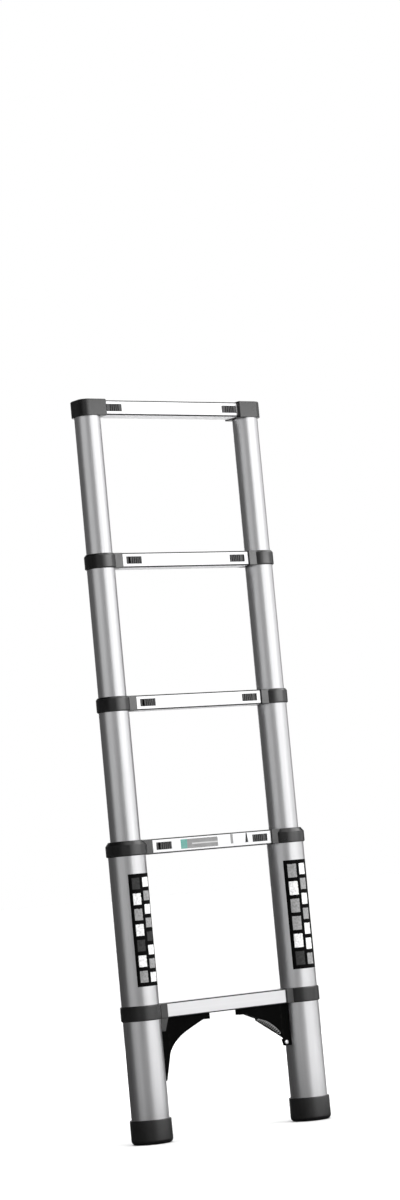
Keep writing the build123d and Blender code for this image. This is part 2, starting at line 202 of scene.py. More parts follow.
class Piece:
    """A mesh on the bench, shaped step by step with Blender's own operators."""

    merge_distance: float = 0.002 * MM
    narrow_face: float = 1.3 * MM
    rounded_bend: float = math.radians(9)

    def __init__(self, name: str) -> None:
        """Takes over the object that an operator has just added.

        Args:
            name: The name of the piece and of its mesh.
        """
        self.obj: bpy.types.Object = bpy.context.active_object
        self.obj.name = name
        self.obj.data.name = name
        bpy.ops.object.transform_apply(location=True, rotation=True, scale=True)

    @classmethod
    def box(cls, name: str, low: Vector, high: Vector) -> "Piece":
        """A box between two corners.

        Args:
            name: The name of the piece.
            low: Its lowest corner.
            high: Its highest corner.

        Returns:
            The new piece.
        """
        bpy.ops.object.select_all(action="DESELECT")
        bpy.ops.mesh.primitive_cube_add(size=1.0, location=(low + high) / 2, scale=high - low)
        return cls(name)

    @classmethod
    def rod(
        cls, name: str, start: Vector, length: float, radius: float, way: Direction = Direction.Z
    ) -> "Piece":
        """A round rod from a place along one axis.

        Args:
            name: The name of the piece.
            start: The middle of the rod's first end.
            length: How far it runs.
            radius: Its radius.
            way: The axis it runs along.

        Returns:
            The new piece.
        """
        bpy.ops.object.select_all(action="DESELECT")
        bpy.ops.mesh.primitive_cylinder_add(
            vertices=ROUND_SIDES, radius=radius, depth=length, location=length / 2 * UP
        )
        return cls(name).place(start, way)

    @classmethod
    def sleeve(
        cls, name: str, foot: Vector, length: float, radius: float, sides: int = ROUND_SIDES
    ) -> "Piece":
        """An open upright sleeve with no wall yet.

        Args:
            name: The name of the piece.
            foot: The middle of its lower end.
            length: Its height.
            radius: Its radius.
            sides: How many faces go round it.

        Returns:
            The new piece.
        """
        bpy.ops.object.select_all(action="DESELECT")
        bpy.ops.mesh.primitive_cylinder_add(
            vertices=sides,
            radius=radius,
            depth=length,
            end_fill_type="NOTHING",
            location=foot + length / 2 * UP,
        )
        return cls(name)

    @classmethod
    def turned(cls, name: str, x: float, profile: list[Pair], hollow: bool) -> "Piece":
        """A turned body: a circle extruded from one profile point to the next about an upright axis.

        Args:
            name: The name of the piece.
            x: Where the axis stands along X.
            profile: Radius and height of each point.
            hollow: True for a ring that closes on its first point, False for a body with two flat ends.

        Returns:
            The new piece.
        """
        radius, height = profile[0]
        bpy.ops.object.select_all(action="DESELECT")
        bpy.ops.mesh.primitive_circle_add(
            vertices=ROUND_SIDES,
            radius=radius,
            fill_type="NOTHING" if hollow else "NGON",
            location=(x, 0.0, height),
        )
        piece = cls(name)
        with piece.editing():
            bpy.ops.mesh.select_all(action="SELECT")
            for next_radius, next_height in profile[1:]:
                rise = (0.0, 0.0, next_height - height)
                bpy.ops.mesh.extrude_region_move(TRANSFORM_OT_translate={"value": rise})
                ratio = next_radius / radius
                bpy.ops.transform.resize(value=(ratio, ratio, 1.0), center_override=(x, 0.0, next_height))
                radius, height = next_radius, next_height
            if hollow:
                bpy.ops.mesh.select_all(action="DESELECT")
                bpy.ops.mesh.select_non_manifold()
                bpy.ops.mesh.bridge_edge_loops()
        return piece.face_outwards()

    @staticmethod
    def joined(pieces: list["Piece"]) -> "Piece":
        """Makes separate pieces one mesh.

        Args:
            pieces: The pieces, which become part of the first one.

        Returns:
            The first piece.
        """
        first, *others = pieces
        first.activate()
        for other in others:
            other.obj.select_set(True)
        bpy.ops.object.join()
        return first

    @contextmanager
    def editing(self, kind: str = "EDGE") -> Iterator[bmesh.types.BMesh]:
        """Opens the piece in edit mode with nothing selected.

        Args:
            kind: What is selected there: VERT, EDGE or FACE.

        Yields:
            The open mesh.
        """
        self.activate()
        bpy.ops.object.mode_set(mode="EDIT")
        bpy.ops.mesh.select_mode(type=kind)
        bpy.ops.mesh.select_all(action="DESELECT")
        yield bmesh.from_edit_mesh(self.obj.data)
        bpy.ops.object.mode_set(mode="OBJECT")

    def pick(self, elements: Iterable, test: Callable[..., bool]) -> None:
        """Selects what passes a test in the open mesh.

        Args:
            elements: The mesh's points, edges or faces.
            test: Says whether one of them is selected.
        """
        for element in elements:
            element.select_set(test(element))
        bmesh.update_edit_mesh(self.obj.data)

    def activate(self) -> None:
        """Makes this the only selected object."""
        bpy.ops.object.select_all(action="DESELECT")
        self.obj.select_set(True)
        bpy.context.view_layer.objects.active = self.obj

    def place(self, at: Vector, way: Direction) -> "Piece":
        """Turns the mesh to a direction and moves it to a place.

        Args:
            at: Where the mesh's origin goes.
            way: The direction that its upright axis takes.

        Returns:
            The piece itself.
        """
        self.activate()
        self.obj.rotation_euler = way.value
        self.obj.location = at
        bpy.ops.object.transform_apply(location=True, rotation=True, scale=True)
        return self

    def face_outwards(self) -> "Piece":
        """Merges doubled points and turns every face outwards.

        Returns:
            The piece itself.
        """
        with self.editing():
            bpy.ops.mesh.select_all(action="SELECT")
            bpy.ops.mesh.remove_doubles(threshold=self.merge_distance)
            bpy.ops.mesh.normals_make_consistent(inside=False)
        return self

    def bevel(self, width: float, steps: Round, test: EdgeTest) -> "Piece":
        """Rounds the edges that pass a test.

        Args:
            width: How far the round reaches from the edge.
            steps: How many faces go across the round.
            test: Says whether an edge is rounded.

        Returns:
            The piece itself.
        """
        with self.editing() as mesh:
            self.pick(mesh.edges, test)
            bpy.ops.mesh.bevel(offset=width, segments=steps.value, affect="EDGES")
        return self

    def drop_faces(self, normal: Vector) -> None:
        """Deletes the faces that look along a direction, either way.

        Args:
            normal: The direction.
        """
        with self.editing("FACE") as mesh:
            self.pick(mesh.faces, lambda face: abs(face.normal.dot(normal)) > ALIGNED)
            bpy.ops.mesh.delete(type="FACE")

    def draw_out(self, way: Vector, length: float) -> None:
        """Extrudes the end face that lies furthest along a direction.

        Args:
            way: The direction, of length one.
            length: How far the end is drawn out.
        """
        with self.editing("FACE") as mesh:
            looking = [face for face in mesh.faces if face.normal.dot(way) > ALIGNED]
            end = max(looking, key=lambda face: face.calc_center_median().dot(way))
            self.pick([end], lambda face: True)
            bpy.ops.mesh.extrude_region_move(TRANSFORM_OT_translate={"value": way * length})

    def drag(self, test: Callable[[Vector], bool], move: Vector) -> "Piece":
        """Moves the points that pass a test.

        Args:
            test: Says whether a point at a place moves.
            move: How far the points move.

        Returns:
            The piece itself.
        """
        with self.editing("VERT") as mesh:
            self.pick(mesh.verts, lambda vert: test(vert.co))
            bpy.ops.transform.translate(value=move)
        return self

    def slice(self, at: Vector, normal: Vector, fill: bool = True) -> None:
        """Cuts away what lies beyond a plane.

        Args:
            at: A point of the plane.
            normal: Points to the side that goes.
            fill: True to close the cut.
        """
        with self.editing():
            bpy.ops.mesh.select_all(action="SELECT")
            bpy.ops.mesh.bisect(plane_co=at, plane_no=normal.normalized(), use_fill=fill, clear_outer=True)

    def score(self, at: Vector, normal: Vector) -> None:
        """Draws a line of edges round the piece where a plane meets it.

        Args:
            at: A point of the plane.
            normal: The plane's direction.
        """
        with self.editing():
            bpy.ops.mesh.select_all(action="SELECT")
            bpy.ops.mesh.bisect(plane_co=at, plane_no=normal)

    def modify(self, kind: str, **settings: object) -> "Piece":
        """Gives the piece a modifier and applies it.

        Args:
            kind: Blender's name of the modifier.
            settings: Its values.

        Returns:
            The piece itself.
        """
        modifier = self.obj.modifiers.new(kind.lower(), kind)
        for name, value in settings.items():
            setattr(modifier, name, value)
        self.activate()
        bpy.ops.object.modifier_apply(modifier=modifier.name)
        return self

    def wall(self, thickness: float, outwards: bool = False) -> None:
        """Gives an open skin a wall of a thickness, on its inside or on its outside."""
        offset = 1.0 if outwards else -1.0
        self.modify("SOLIDIFY", thickness=thickness, offset=offset, use_even_offset=True)

    def soften(self, width: float) -> "Piece":
        """Rounds every sharp edge by a width and returns the piece itself."""
        steps = Round.FINE.value
        return self.modify(
            "BEVEL", width=width, segments=steps, limit_method="ANGLE", angle_limit=SHARP_ANGLE
        )

    def combine(self, tool: "Piece", join: Join) -> "Piece":
        """Adds another piece to this one or cuts it away, and clears the other from the bench.

        Args:
            tool: The other piece.
            join: Whether it is added or removed.

        Returns:
            The piece itself.
        """
        self.modify("BOOLEAN", object=tool.obj, operation=join.value, solver="EXACT")
        tool.scrap()
        return self

    def scrap(self) -> None:
        """Removes the piece and its mesh."""
        mesh = self.obj.data
        bpy.data.objects.remove(self.obj)
        bpy.data.meshes.remove(mesh)

    def mirrored(self, name: str) -> "Piece":
        """A copy with a mesh of its own, turned over to the other stile.

        Args:
            name: The copy's name.

        Returns:
            The mirrored copy.
        """
        self.activate()
        bpy.ops.object.duplicate(linked=False)
        twin = Piece(name)
        twin.obj.scale = (-1.0, 1.0, 1.0)
        bpy.ops.object.transform_apply(scale=True)
        return twin.face_outwards()

    def mark_edges(self) -> None:
        """Marks the narrow faces along rounded edges, where handling wears a finish first."""
        mesh = bmesh.new()
        mesh.from_mesh(self.obj.data)
        layer = mesh.faces.layers.float.new(EDGE_ATTRIBUTE)
        for face in mesh.faces:
            breadth = face.calc_area() / max(edge.calc_length() for edge in face.edges)
            bends = [edge.calc_face_angle_signed(0.0) for edge in face.edges if edge.is_manifold]
            rounded = breadth < self.narrow_face and max(bends, default=0.0) > self.rounded_bend
            face[layer] = float(rounded)
        mesh.to_mesh(self.obj.data)
        mesh.free()

    def polish(self) -> None:
        """Shades round faces smooth and keeps flat faces flat."""
        self.activate()
        bpy.ops.object.shade_smooth_by_angle(angle=SHARP_ANGLE)
        self.modify("WEIGHTED_NORMAL", keep_sharp=True)

    def ride(self, body: str, slot: str, finish: "Finish") -> None:
        """Dresses the piece and puts it on a CAD body.

        Args:
            body: The body that carries it.
            slot: The record's material slot; not used.
            finish: Its finish.
        """
        self.mark_edges()
        self.polish()
        self.obj.data.materials.clear()
        self.obj.data.materials.append(finish.material())
        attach(self.obj, body)
        LOG.info("%s rides on %s with %d faces", self.obj.name, body, len(self.obj.data.polygons))

    def stand_for(self, node: str, finish: "Finish") -> None:
        """Dresses the piece in its finish and puts it in the place of a CAD node."""
        self.ride(Frame.bodies[node], Frame.slots[node], finish)
        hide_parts(node)

    def stand_for_pair(self, node: str, finish: "Finish") -> "Piece":
        """Stands for a left node and lets a mirrored twin stand for the right one.

        Args:
            node: The node without its side.
            finish: The finish of both.

        Returns:
            The twin.
        """
        twin = self.mirrored(self.obj.name.replace(Side.LEFT.value, Side.RIGHT.value, 1))
        self.stand_for(Side.LEFT.node(node), finish)
        twin.stand_for(Side.RIGHT.node(node), finish)
        return twin

    def finish_faces(self, test: Callable[[bpy.types.MeshPolygon], bool], finish: "Finish") -> None:
        """Gives some of the faces a finish of their own.

        Args:
            test: Says whether a face takes it.
            finish: The finish.
        """
        mesh = self.obj.data
        mesh.materials.append(finish.material())
        for face in mesh.polygons:
            if test(face):
                face.material_index = len(mesh.materials) - 1


class Edges:
    """Tests that pick edges by their direction, place or angle."""

    @staticmethod
    def along(axis: Vector) -> EdgeTest:
        """Picks the edges that run along an axis."""
        return lambda edge: abs((edge.verts[1].co - edge.verts[0].co).normalized().dot(axis)) > ALIGNED

    @staticmethod
    def sharper(angle: float) -> EdgeTest:
        """Picks the edges between faces that meet at more than an angle."""
        return lambda edge: edge.is_manifold and edge.calc_face_angle(0.0) > angle

    @staticmethod
    def rim_at_depth(depth: float) -> EdgeTest:
        """Picks the sharp outer edges that lie at one depth along Y."""
        return lambda edge: (
            edge.is_manifold
            and edge.calc_face_angle_signed(0.0) > SHARP_ANGLE
            and all(abs(vert.co.y - depth) < SAME_PLACE for vert in edge.verts)
        )

    @staticmethod
    def at_height(height: float) -> EdgeTest:
        """Picks the edges that lie at one height."""
        return lambda edge: all(abs(vert.co.z - height) < SAME_PLACE for vert in edge.verts)

    @staticmethod
    def beyond_x(limit: float) -> EdgeTest:
        """Picks the edges past a place along X."""
        return lambda edge: all(vert.co.x > limit for vert in edge.verts)

    @staticmethod
    def before_x(limit: float) -> EdgeTest:
        """Picks the edges short of a place along X."""
        return lambda edge: all(vert.co.x < limit for vert in edge.verts)

    @staticmethod
    def both(first: EdgeTest, second: EdgeTest) -> EdgeTest:
        """Picks the edges that pass two tests."""
        return lambda edge: first(edge) and second(edge)


class Board:
    """Adds nodes and links to one node tree."""

    # The colour sockets of a mix node, which has sockets of the same names for other kinds.
    mix_share: int = 0
    mix_first: int = 6
    mix_second: int = 7
    mix_result: int = 2

    def __init__(self, tree: bpy.types.NodeTree) -> None:
        """Starts on a tree and empties it."""
        self.tree = tree
        tree.nodes.clear()

    def add(
        self, kind: str, inputs: dict[str | int, object] | None = None, **settings: object
    ) -> bpy.types.Node:
        """Adds a node.

        Args:
            kind: The node's type.
            inputs: Values of its sockets, or the sockets that feed them.
            settings: Its other properties.

        Returns:
            The new node.
        """
        node = self.tree.nodes.new(kind)
        for name, value in settings.items():
            setattr(node, name, value)
        for name, value in (inputs or {}).items():
            self.feed(node.inputs[name], value)
        return node

    def value(self, kind: str, inputs: dict[str | int, object], **settings: object) -> Socket:
        """Adds a node and gives its first output, with the same arguments as add."""
        return self.add(kind, inputs, **settings).outputs[0]

    def feed(self, socket: Socket, value: object) -> None:
        """Sets a socket's value or links another socket to it.

        Args:
            socket: The socket that is fed.
            value: A plain value or an output socket.
        """
        if isinstance(value, Socket):
            self.tree.links.new(value, socket)
        else:
            socket.default_value = value

    def place(self) -> Socket:
        """Where a point lies in its object's own coordinates."""
        return self.add("ShaderNodeTexCoord").outputs["Object"]

    def noise(self, vector: Socket, scale: float, detail: float) -> Socket:
        """A noise between 0 and 1 over a coordinate, by its frequency per metre and its finer layers."""
        return self.value("ShaderNodeTexNoise", {"Vector": vector, "Scale": scale, "Detail": detail})

    def ranged(self, value: Socket, source: Pair, target: Pair) -> Socket:
        """A value carried from a source range to a target range and held there."""
        ends = {"From Min": source[0], "From Max": source[1], "To Min": target[0], "To Max": target[1]}
        return self.value("ShaderNodeMapRange", {"Value": value, **ends})

    def math(self, operation: str, *values: object) -> Socket:
        """One step of arithmetic, by Blender's name of it, on values or sockets."""
        return self.value("ShaderNodeMath", dict(enumerate(values)), operation=operation)

    def within(self, value: Socket, limits: Pair) -> Socket:
        """Gives 1 where a value lies between a lower and an upper limit, else 0."""
        low, high = limits
        return self.math("COMPARE", value, (low + high) / 2, (high - low) / 2)

    def mix(self, share: object, first: object, second: object) -> Socket:
        """A colour between two others, by the share of the second."""
        inputs = {self.mix_share: share, self.mix_first: first, self.mix_second: second}
        return self.add("ShaderNodeMix", inputs, data_type="RGBA").outputs[self.mix_result]

    def effect(self, group: bpy.types.NodeTree, **inputs: object) -> bpy.types.Node:
        """Places a shared effect in a material with its values there, and gives its node."""
        return self.add("ShaderNodeGroup", inputs, node_tree=group)

    def relief(self, shader: bpy.types.Node, height: Socket, depth: float, strength: float) -> None:
        """Gives a shader's surface a fine relief, with its depth in metres and how much of it shows."""
        inputs = {"Strength": strength, "Distance": depth, "Height": height}
        self.feed(shader.inputs["Normal"], self.value("ShaderNodeBump", inputs))


class GroupBoard(Board):
    """The board of a node group that has one input."""

    def __init__(self, name: str, given: str, kind: str, results: tuple[str, ...]) -> None:
        """Opens a new group with its sockets.

        Args:
            name: The group's name.
            given: The name of its input.
            kind: The input's socket type.
            results: The names of its value outputs.
        """
        super().__init__(bpy.data.node_groups.new(name, "ShaderNodeTree"))
        self.tree.interface.new_socket(given, in_out="INPUT", socket_type=kind)
        for label in results:
            self.tree.interface.new_socket(label, in_out="OUTPUT", socket_type="NodeSocketFloat")
        self.given: Socket = self.add("NodeGroupInput").outputs[given]
        self.results: bpy.types.NodeInputs = self.add("NodeGroupOutput").inputs


def built_once(draw: Callable[[], GroupBoard]) -> Callable[[], bpy.types.NodeTree]:
    """Keeps a shared group, so that it is drawn at its first use only.

    Args:
        draw: Draws the group, which is named as this function is.

    Returns:
        A function that gives the group.
    """

    def group() -> bpy.types.NodeTree:
        """The group, drawn now if there is none yet."""
        return bpy.data.node_groups.get(draw.__name__) or draw().tree

    return group


class Effects:
    """Node groups that several finishes share, each built once."""

    # The frequency per metre and the finer layers of each noise.
    lines: Pair = (900.0, 3.0)
    streaks: Pair = (70.0, 2.0)
    cloud: Pair = (38.0, 4.0)
    wear: Pair = (160.0, 5.0)
    dust: Pair = (55.0, 6.0)
    grain_layers: float = 4.0
    grain_roughness: float = 0.65

    # The part of a noise where wear and dust begin and where they are full.
    wear_patch: Pair = (0.42, 0.68)
    dust_patch: Pair = (0.4, 0.75)

    # How far a face looks up, and the share of the dust that it then keeps.
    tilt: Pair = (0.1, 0.95)
    tilt_share: Pair = (0.25, 1.0)

    @staticmethod
    @built_once
    def drawn_lines() -> GroupBoard:
        """Fine lines and slow streaks along the way that a metal was drawn.

        Returns:
            The group's board.
        """
        board = GroupBoard("drawn_lines", "Spread", "NodeSocketVector", ("Lines", "Streaks"))
        drawn = board.value("ShaderNodeMapping", {"Vector": board.place(), "Scale": board.given})
        board.feed(board.results["Lines"], board.noise(drawn, *Effects.lines))
        board.feed(board.results["Streaks"], board.noise(drawn, *Effects.streaks))
        return board

    @staticmethod
    @built_once
    def moulded_grain() -> GroupBoard:
        """The fine spark-eroded grain of a mould and a slow cloud of tone.

        Returns:
            The group's board.
        """
        board = GroupBoard("moulded_grain", "Fineness", "NodeSocketFloat", ("Grain", "Cloud"))
        place = board.place()
        inputs = {
            "Vector": place,
            "Scale": board.given,
            "Detail": Effects.grain_layers,
            "Roughness": Effects.grain_roughness,
        }
        board.feed(board.results["Grain"], board.value("ShaderNodeTexNoise", inputs))
        board.feed(board.results["Cloud"], board.noise(place, *Effects.cloud))
        return board

    @staticmethod
    @built_once
    def edge_wear() -> GroupBoard:
        """Where handling has rubbed the rounded edges.

        Returns:
            The group's board.
        """
        board = GroupBoard("edge_wear", "Amount", "NodeSocketFloat", ("Mask",))
        edge = board.add("ShaderNodeAttribute", attribute_name=EDGE_ATTRIBUTE).outputs["Fac"]
        patches = board.ranged(board.noise(board.place(), *Effects.wear), Effects.wear_patch, WHOLE)
        worn = board.math("MULTIPLY", edge, patches)
        board.feed(board.results["Mask"], board.math("MULTIPLY", worn, board.given))
        return board

    @staticmethod
    @built_once
    def settled_dust() -> GroupBoard:
        """Dust that lies thin on faces that look up and gathers in patches.

        Returns:
            The group's board.
        """
        board = GroupBoard("settled_dust", "Amount", "NodeSocketFloat", ("Mask",))
        normal = board.add("ShaderNodeNewGeometry").outputs["Normal"]
        upward = board.add("ShaderNodeSeparateXYZ", {"Vector": normal}).outputs["Z"]
        lying = board.ranged(upward, Effects.tilt, Effects.tilt_share)
        patches = board.ranged(board.noise(board.place(), *Effects.dust), Effects.dust_patch, WHOLE)
        dusty = board.math("MULTIPLY", lying, patches)
        board.feed(board.results["Mask"], board.math("MULTIPLY", dusty, board.given))
        return board


@dataclass(frozen=True)
class Finish:
    """A material that is built once and shared by every piece that has this finish."""

    name: str

    def material(self) -> bpy.types.Material:
        """Builds the finish's material at its first use.

        Returns:
            The material.
        """
        if self.name in bpy.data.materials:
            return bpy.data.materials[self.name]
        material = bpy.data.materials.new(self.name)
        material.use_nodes = True
        board = Board(material.node_tree)
        shader = board.add("ShaderNodeBsdfPrincipled")
        board.add("ShaderNodeOutputMaterial", {"Surface": shader.outputs["BSDF"]})
        self.dress(board, shader)
        return material

    def dress(self, board: Board, shader: bpy.types.Node) -> None:
        """Feeds the shader on the material's board; each kind of finish has its own way."""
        raise NotImplementedError


@dataclass(frozen=True)
class DrawnMetal(Finish):
    """Satin metal with fine lines along the way it was drawn."""

    light: Colour
    dark: Colour
    roughness: Pair
    spread: tuple[float, float, float]
    metallic: float = 1.0
    relief: float = 0.02 * MM
    relief_strength: float = 0.35

    def dress(self, board: Board, shader: bpy.types.Node) -> None:
        """Streaks of tone, and lines in roughness and relief.

        Args:
            board: The material's board.
            shader: Its Principled BSDF.
        """
        drawn = board.effect(Effects.drawn_lines(), Spread=self.spread)
        lines = drawn.outputs["Lines"]
        tone = board.ranged(drawn.outputs["Streaks"], MIDDLE, WHOLE)
        board.feed(shader.inputs["Base Color"], board.mix(tone, self.dark, self.light))
        board.feed(shader.inputs["Roughness"], board.ranged(lines, MIDDLE, self.roughness))
        board.feed(shader.inputs["Metallic"], self.metallic)
        board.relief(shader, lines, self.relief, self.relief_strength)


@dataclass(frozen=True)
class MouldedPlastic(Finish):
    """Moulded plastic with a fine grain, rubbed edges and a little dust."""

    colour: Colour
    rubbed: Colour
    roughness: Pair
    shine: float = 0.5
    fineness: float = 1500.0
    wear: float = 0.5
    dust: float = 0.08
    dust_colour: Colour = (0.30, 0.29, 0.28, 1.0)
    deep_share: float = 0.8
    relief: float = 0.05 * MM
    relief_strength: float = 0.4

    def dress(self, board: Board, shader: bpy.types.Node) -> None:
        """Grain in relief and roughness, then wear and dust over the colour.

        Args:
            board: The material's board.
            shader: Its Principled BSDF.
        """
        grain = board.effect(Effects.moulded_grain(), Fineness=self.fineness)
        wear = board.effect(Effects.edge_wear(), Amount=self.wear).outputs["Mask"]
        dust = board.effect(Effects.settled_dust(), Amount=self.dust).outputs["Mask"]
        cloud = grain.outputs["Cloud"]
        *tint, alpha = self.colour
        deep = (*(self.deep_share * part for part in tint), alpha)
        rubbed = board.mix(wear, board.mix(cloud, deep, self.colour), self.rubbed)
        board.feed(shader.inputs["Base Color"], board.mix(dust, rubbed, self.dust_colour))
        roughness = board.ranged(cloud, MIDDLE, self.roughness)
        board.feed(shader.inputs["Roughness"], board.math("ADD", roughness, dust))
        board.feed(shader.inputs["Specular IOR Level"], self.shine)
        board.relief(shader, grain.outputs["Grain"], self.relief, self.relief_strength)


@dataclass(frozen=True)
class PrintedFilm(Finish):
    """Film with a fine grain; each kind prints its own pattern over the film's map."""

    fineness: ClassVar[float] = 700.0
    relief: ClassVar[float] = 0.01 * MM
    relief_strength: ClassVar[float] = 0.3

    @staticmethod
    def on_map(board: Board) -> tuple[Socket, Socket]:
        """How far across and up the film's own map a point lies.

        Args:
            board: The material's board.

        Returns:
            The two shares.
        """
        place = board.add("ShaderNodeUVMap").outputs["UV"]
        parts = board.add("ShaderNodeSeparateXYZ", {"Vector": place})
        return parts.outputs["X"], parts.outputs["Y"]

    def skin(self, board: Board, shader: bpy.types.Node, roughness: Pair) -> Socket:
        """Gives the film its roughness and relief.

        Args:
            board: The material's board.
            shader: Its Principled BSDF.
            roughness: The lowest and the highest roughness.

        Returns:
            The slow cloud of tone over the film.
        """
        grain = board.effect(Effects.moulded_grain(), Fineness=self.fineness)
        cloud = grain.outputs["Cloud"]
        board.feed(shader.inputs["Roughness"], board.ranged(cloud, MIDDLE, roughness))
        board.relief(shader, grain.outputs["Grain"], self.relief, self.relief_strength)
        return cloud


class Ink(Enum):
    """The plain inks of the printed films."""

    WHITE = grey(0.92)
    GREY = grey(0.33)
    DARK = grey(0.045)
    BLACK = grey(0.002)


@dataclass(frozen=True)
class Column:
    """A column of plain blocks that divide a film's height evenly, from the top down."""

    across: Pair
    inks: tuple[Ink, ...]

    def blocks(self, gap: float) -> Iterator[tuple[Pair, Ink]]:
        """The blocks of the column.

        Args:
            gap: The black gap between two blocks, as a share of the film's height.

        Yields:
            Where each block starts and ends in height, and its ink.
        """
        pitch = (1.0 - gap) / len(self.inks)
        for index, ink in enumerate(reversed(self.inks)):
            yield (gap + index * pitch, (index + 1) * pitch), ink


@dataclass(frozen=True)
class BlockFilm(PrintedFilm):
    """Printed film with columns of plain blocks on a black ground."""

    columns: tuple[Column, ...]
    gap: float = 0.036
    fray: float = 0.004
    fray_noise: Pair = (240.0, 2.0)
    worn_noise: Pair = (240.0, 4.0)
    worn_patch: Pair = (0.35, 0.65)
    faded: float = 0.35
    roughness: Pair = (0.3, 0.45)
    shine: float = 0.03

    def dress(self, board: Board, shader: bpy.types.Node) -> None:
        """Blocks over the film's own map with slightly frayed borders and cloudy ink.

        Args:
            board: The material's board.
            shader: Its Principled BSDF.
        """
        solid = board.place()
        frayed = board.ranged(board.noise(solid, *self.fray_noise), WHOLE, (-self.fray, self.fray))
        across, up = (board.math("ADD", part, frayed) for part in self.on_map(board))
        worn = board.ranged(board.noise(solid, *self.worn_noise), self.worn_patch, (0.0, self.faded))
        colour: object = Ink.BLACK.value
        for column in self.columns:
            in_column = board.within(across, column.across)
            for rows, ink in column.blocks(self.gap):
                inside = board.math("MULTIPLY", in_column, board.within(up, rows))
                colour = board.mix(inside, colour, ink.value)
        board.feed(shader.inputs["Base Color"], board.mix(worn, colour, Ink.BLACK.value))
        board.feed(shader.inputs["Specular IOR Level"], self.shine)
        self.skin(board, shader, self.roughness)


@dataclass(frozen=True)
class StripeFilm(PrintedFilm):
    """Plain printed film with a coloured end and a paler stripe."""

    ground: Colour
    stripe: Colour
    end: Colour
    end_share: float = 0.17
    stripe_start: float = 0.3
    stripe_rows: Pair = (0.42, 0.56)
    rub_patch: Pair = (0.4, 0.8)
    rubbed: float = 0.25
    roughness: Pair = (0.35, 0.5)

    def dress(self, board: Board, shader: bpy.types.Node) -> None:
        """The stripe and the end over the film's own map, with slightly rubbed ink.

        Args:
            board: The material's board.
            shader: Its Principled BSDF.
        """
        across, up = self.on_map(board)
        rows = board.within(up, self.stripe_rows)
        striped = board.math("MULTIPLY", rows, board.math("GREATER_THAN", across, self.stripe_start))
        ended = board.math("LESS_THAN", across, self.end_share)
        colour = board.mix(ended, board.mix(striped, self.ground, self.stripe), self.end)
        cloud = self.skin(board, shader, self.roughness)
        rub = board.ranged(cloud, self.rub_patch, (0.0, self.rubbed))
        board.feed(shader.inputs["Base Color"], board.mix(rub, colour, self.stripe))


# How a metal's lines are drawn out: along the stiles, along the rungs, or not at all.
STILE_WAY = (1.0, 1.0, 0.012)
RUNG_WAY = (0.012, 1.0, 1.0)
PIN_WAY = (0.02, 1.0, 1.0)
WIRE_WAY = (0.5, 1.0, 1.0)
NO_WAY = (1.0, 1.0, 1.0)

# How much bluer a metal is than a plain grey.
COOL = 0.01

TUBE_METAL = DrawnMetal("satin_tube", grey(0.80, COOL), grey(0.70, COOL), (0.30, 0.42), STILE_WAY)
RUNG_METAL = DrawnMetal("satin_rung", grey(0.90, COOL), grey(0.83, COOL), (0.30, 0.42), RUNG_WAY)
# The bottom rung's metal: the same satin finish, a little greyer.
GREYER_RUNG_METAL = replace(RUNG_METAL, name="worn_rung", light=grey(0.79, COOL), dark=grey(0.72, COOL))
MILL_METAL = DrawnMetal(
    "mill_underside", grey(0.74, COOL), grey(0.62, COOL), (0.40, 0.52), RUNG_WAY, metallic=0.2
)
# Dark metal for the rungs' front rounds: a painted shade that draws dark lines along the top and bottom front
# edges.
PAINTED_SHADE_METAL = DrawnMetal("shaded_edge", grey(0.09), grey(0.06), (0.35, 0.47), RUNG_WAY)
RIVET_METAL = DrawnMetal("bright_rivet", grey(0.86, COOL), grey(0.74, COOL), (0.22, 0.34), NO_WAY)
TURNED_STEEL = DrawnMetal("turned_steel", grey(0.58, COOL), grey(0.46, COOL), (0.24, 0.36), PIN_WAY)
SPRING_STEEL = DrawnMetal("spring_wire", grey(0.52, COOL), grey(0.38, COOL), (0.28, 0.40), WIRE_WAY)
METALS = (TUBE_METAL, RUNG_METAL, GREYER_RUNG_METAL, RIVET_METAL, TURNED_STEEL, SPRING_STEEL)

COLLAR_PLASTIC = MouldedPlastic(
    "grained_collar", grey(0.005, 0.0002), grey(0.04), (0.27, 0.35), shine=0.75, dust=0.03, relief=0.012 * MM
)
SLIDER_PLASTIC = MouldedPlastic("ribbed_slider", grey(0.035, 0.001), grey(0.12), (0.42, 0.55))
# Near-black plastic for the slider's grooves: a painted shade in the recesses between the ribs of the same
# moulding.
GROOVE_SHADE_PLASTIC = MouldedPlastic("slider_groove", grey(0.004), grey(0.02), (0.5, 0.6), shine=0.1)
BRACKET_PLASTIC = MouldedPlastic(
    "moulded_bracket", grey(0.0012), grey(0.012), (0.45, 0.6), shine=0.02, wear=0.3, dust=0.008
)
# The bracket's black moulding made paler on the flange's underside: a painted light on the grooved face.
PAINTED_LIGHT_FLANGE_PLASTIC = MouldedPlastic(
    "pale_flange", grey(0.16), grey(0.25), (0.3, 0.4), wear=0.3, dust=0.03, relief=0.008 * MM
)
# A paler line on the flange along the web's edge: a painted highlight.
PAINTED_HIGHLIGHT_STRIP_PLASTIC = MouldedPlastic("pale_strip", grey(0.36), grey(0.45), (0.3, 0.4), wear=0.3, dust=0.03)
PLUG_PLASTIC = MouldedPlastic("moulded_plug", grey(0.18, 0.005), grey(0.3), (0.45, 0.55))
FOOT_RUBBER = MouldedPlastic(
    "boot_rubber", grey(0.005), grey(0.04), (0.32, 0.42), shine=1.0, fineness=900.0, dust=0.03
)
PALE_MARK = MouldedPlastic("pale_mark", grey(0.3), grey(0.5), (0.35, 0.5), shine=0.1, dust=0.02)
DARK_MARK = MouldedPlastic("dark_mark", grey(0.03), grey(0.2), (0.35, 0.5), shine=0.1, dust=0.02)

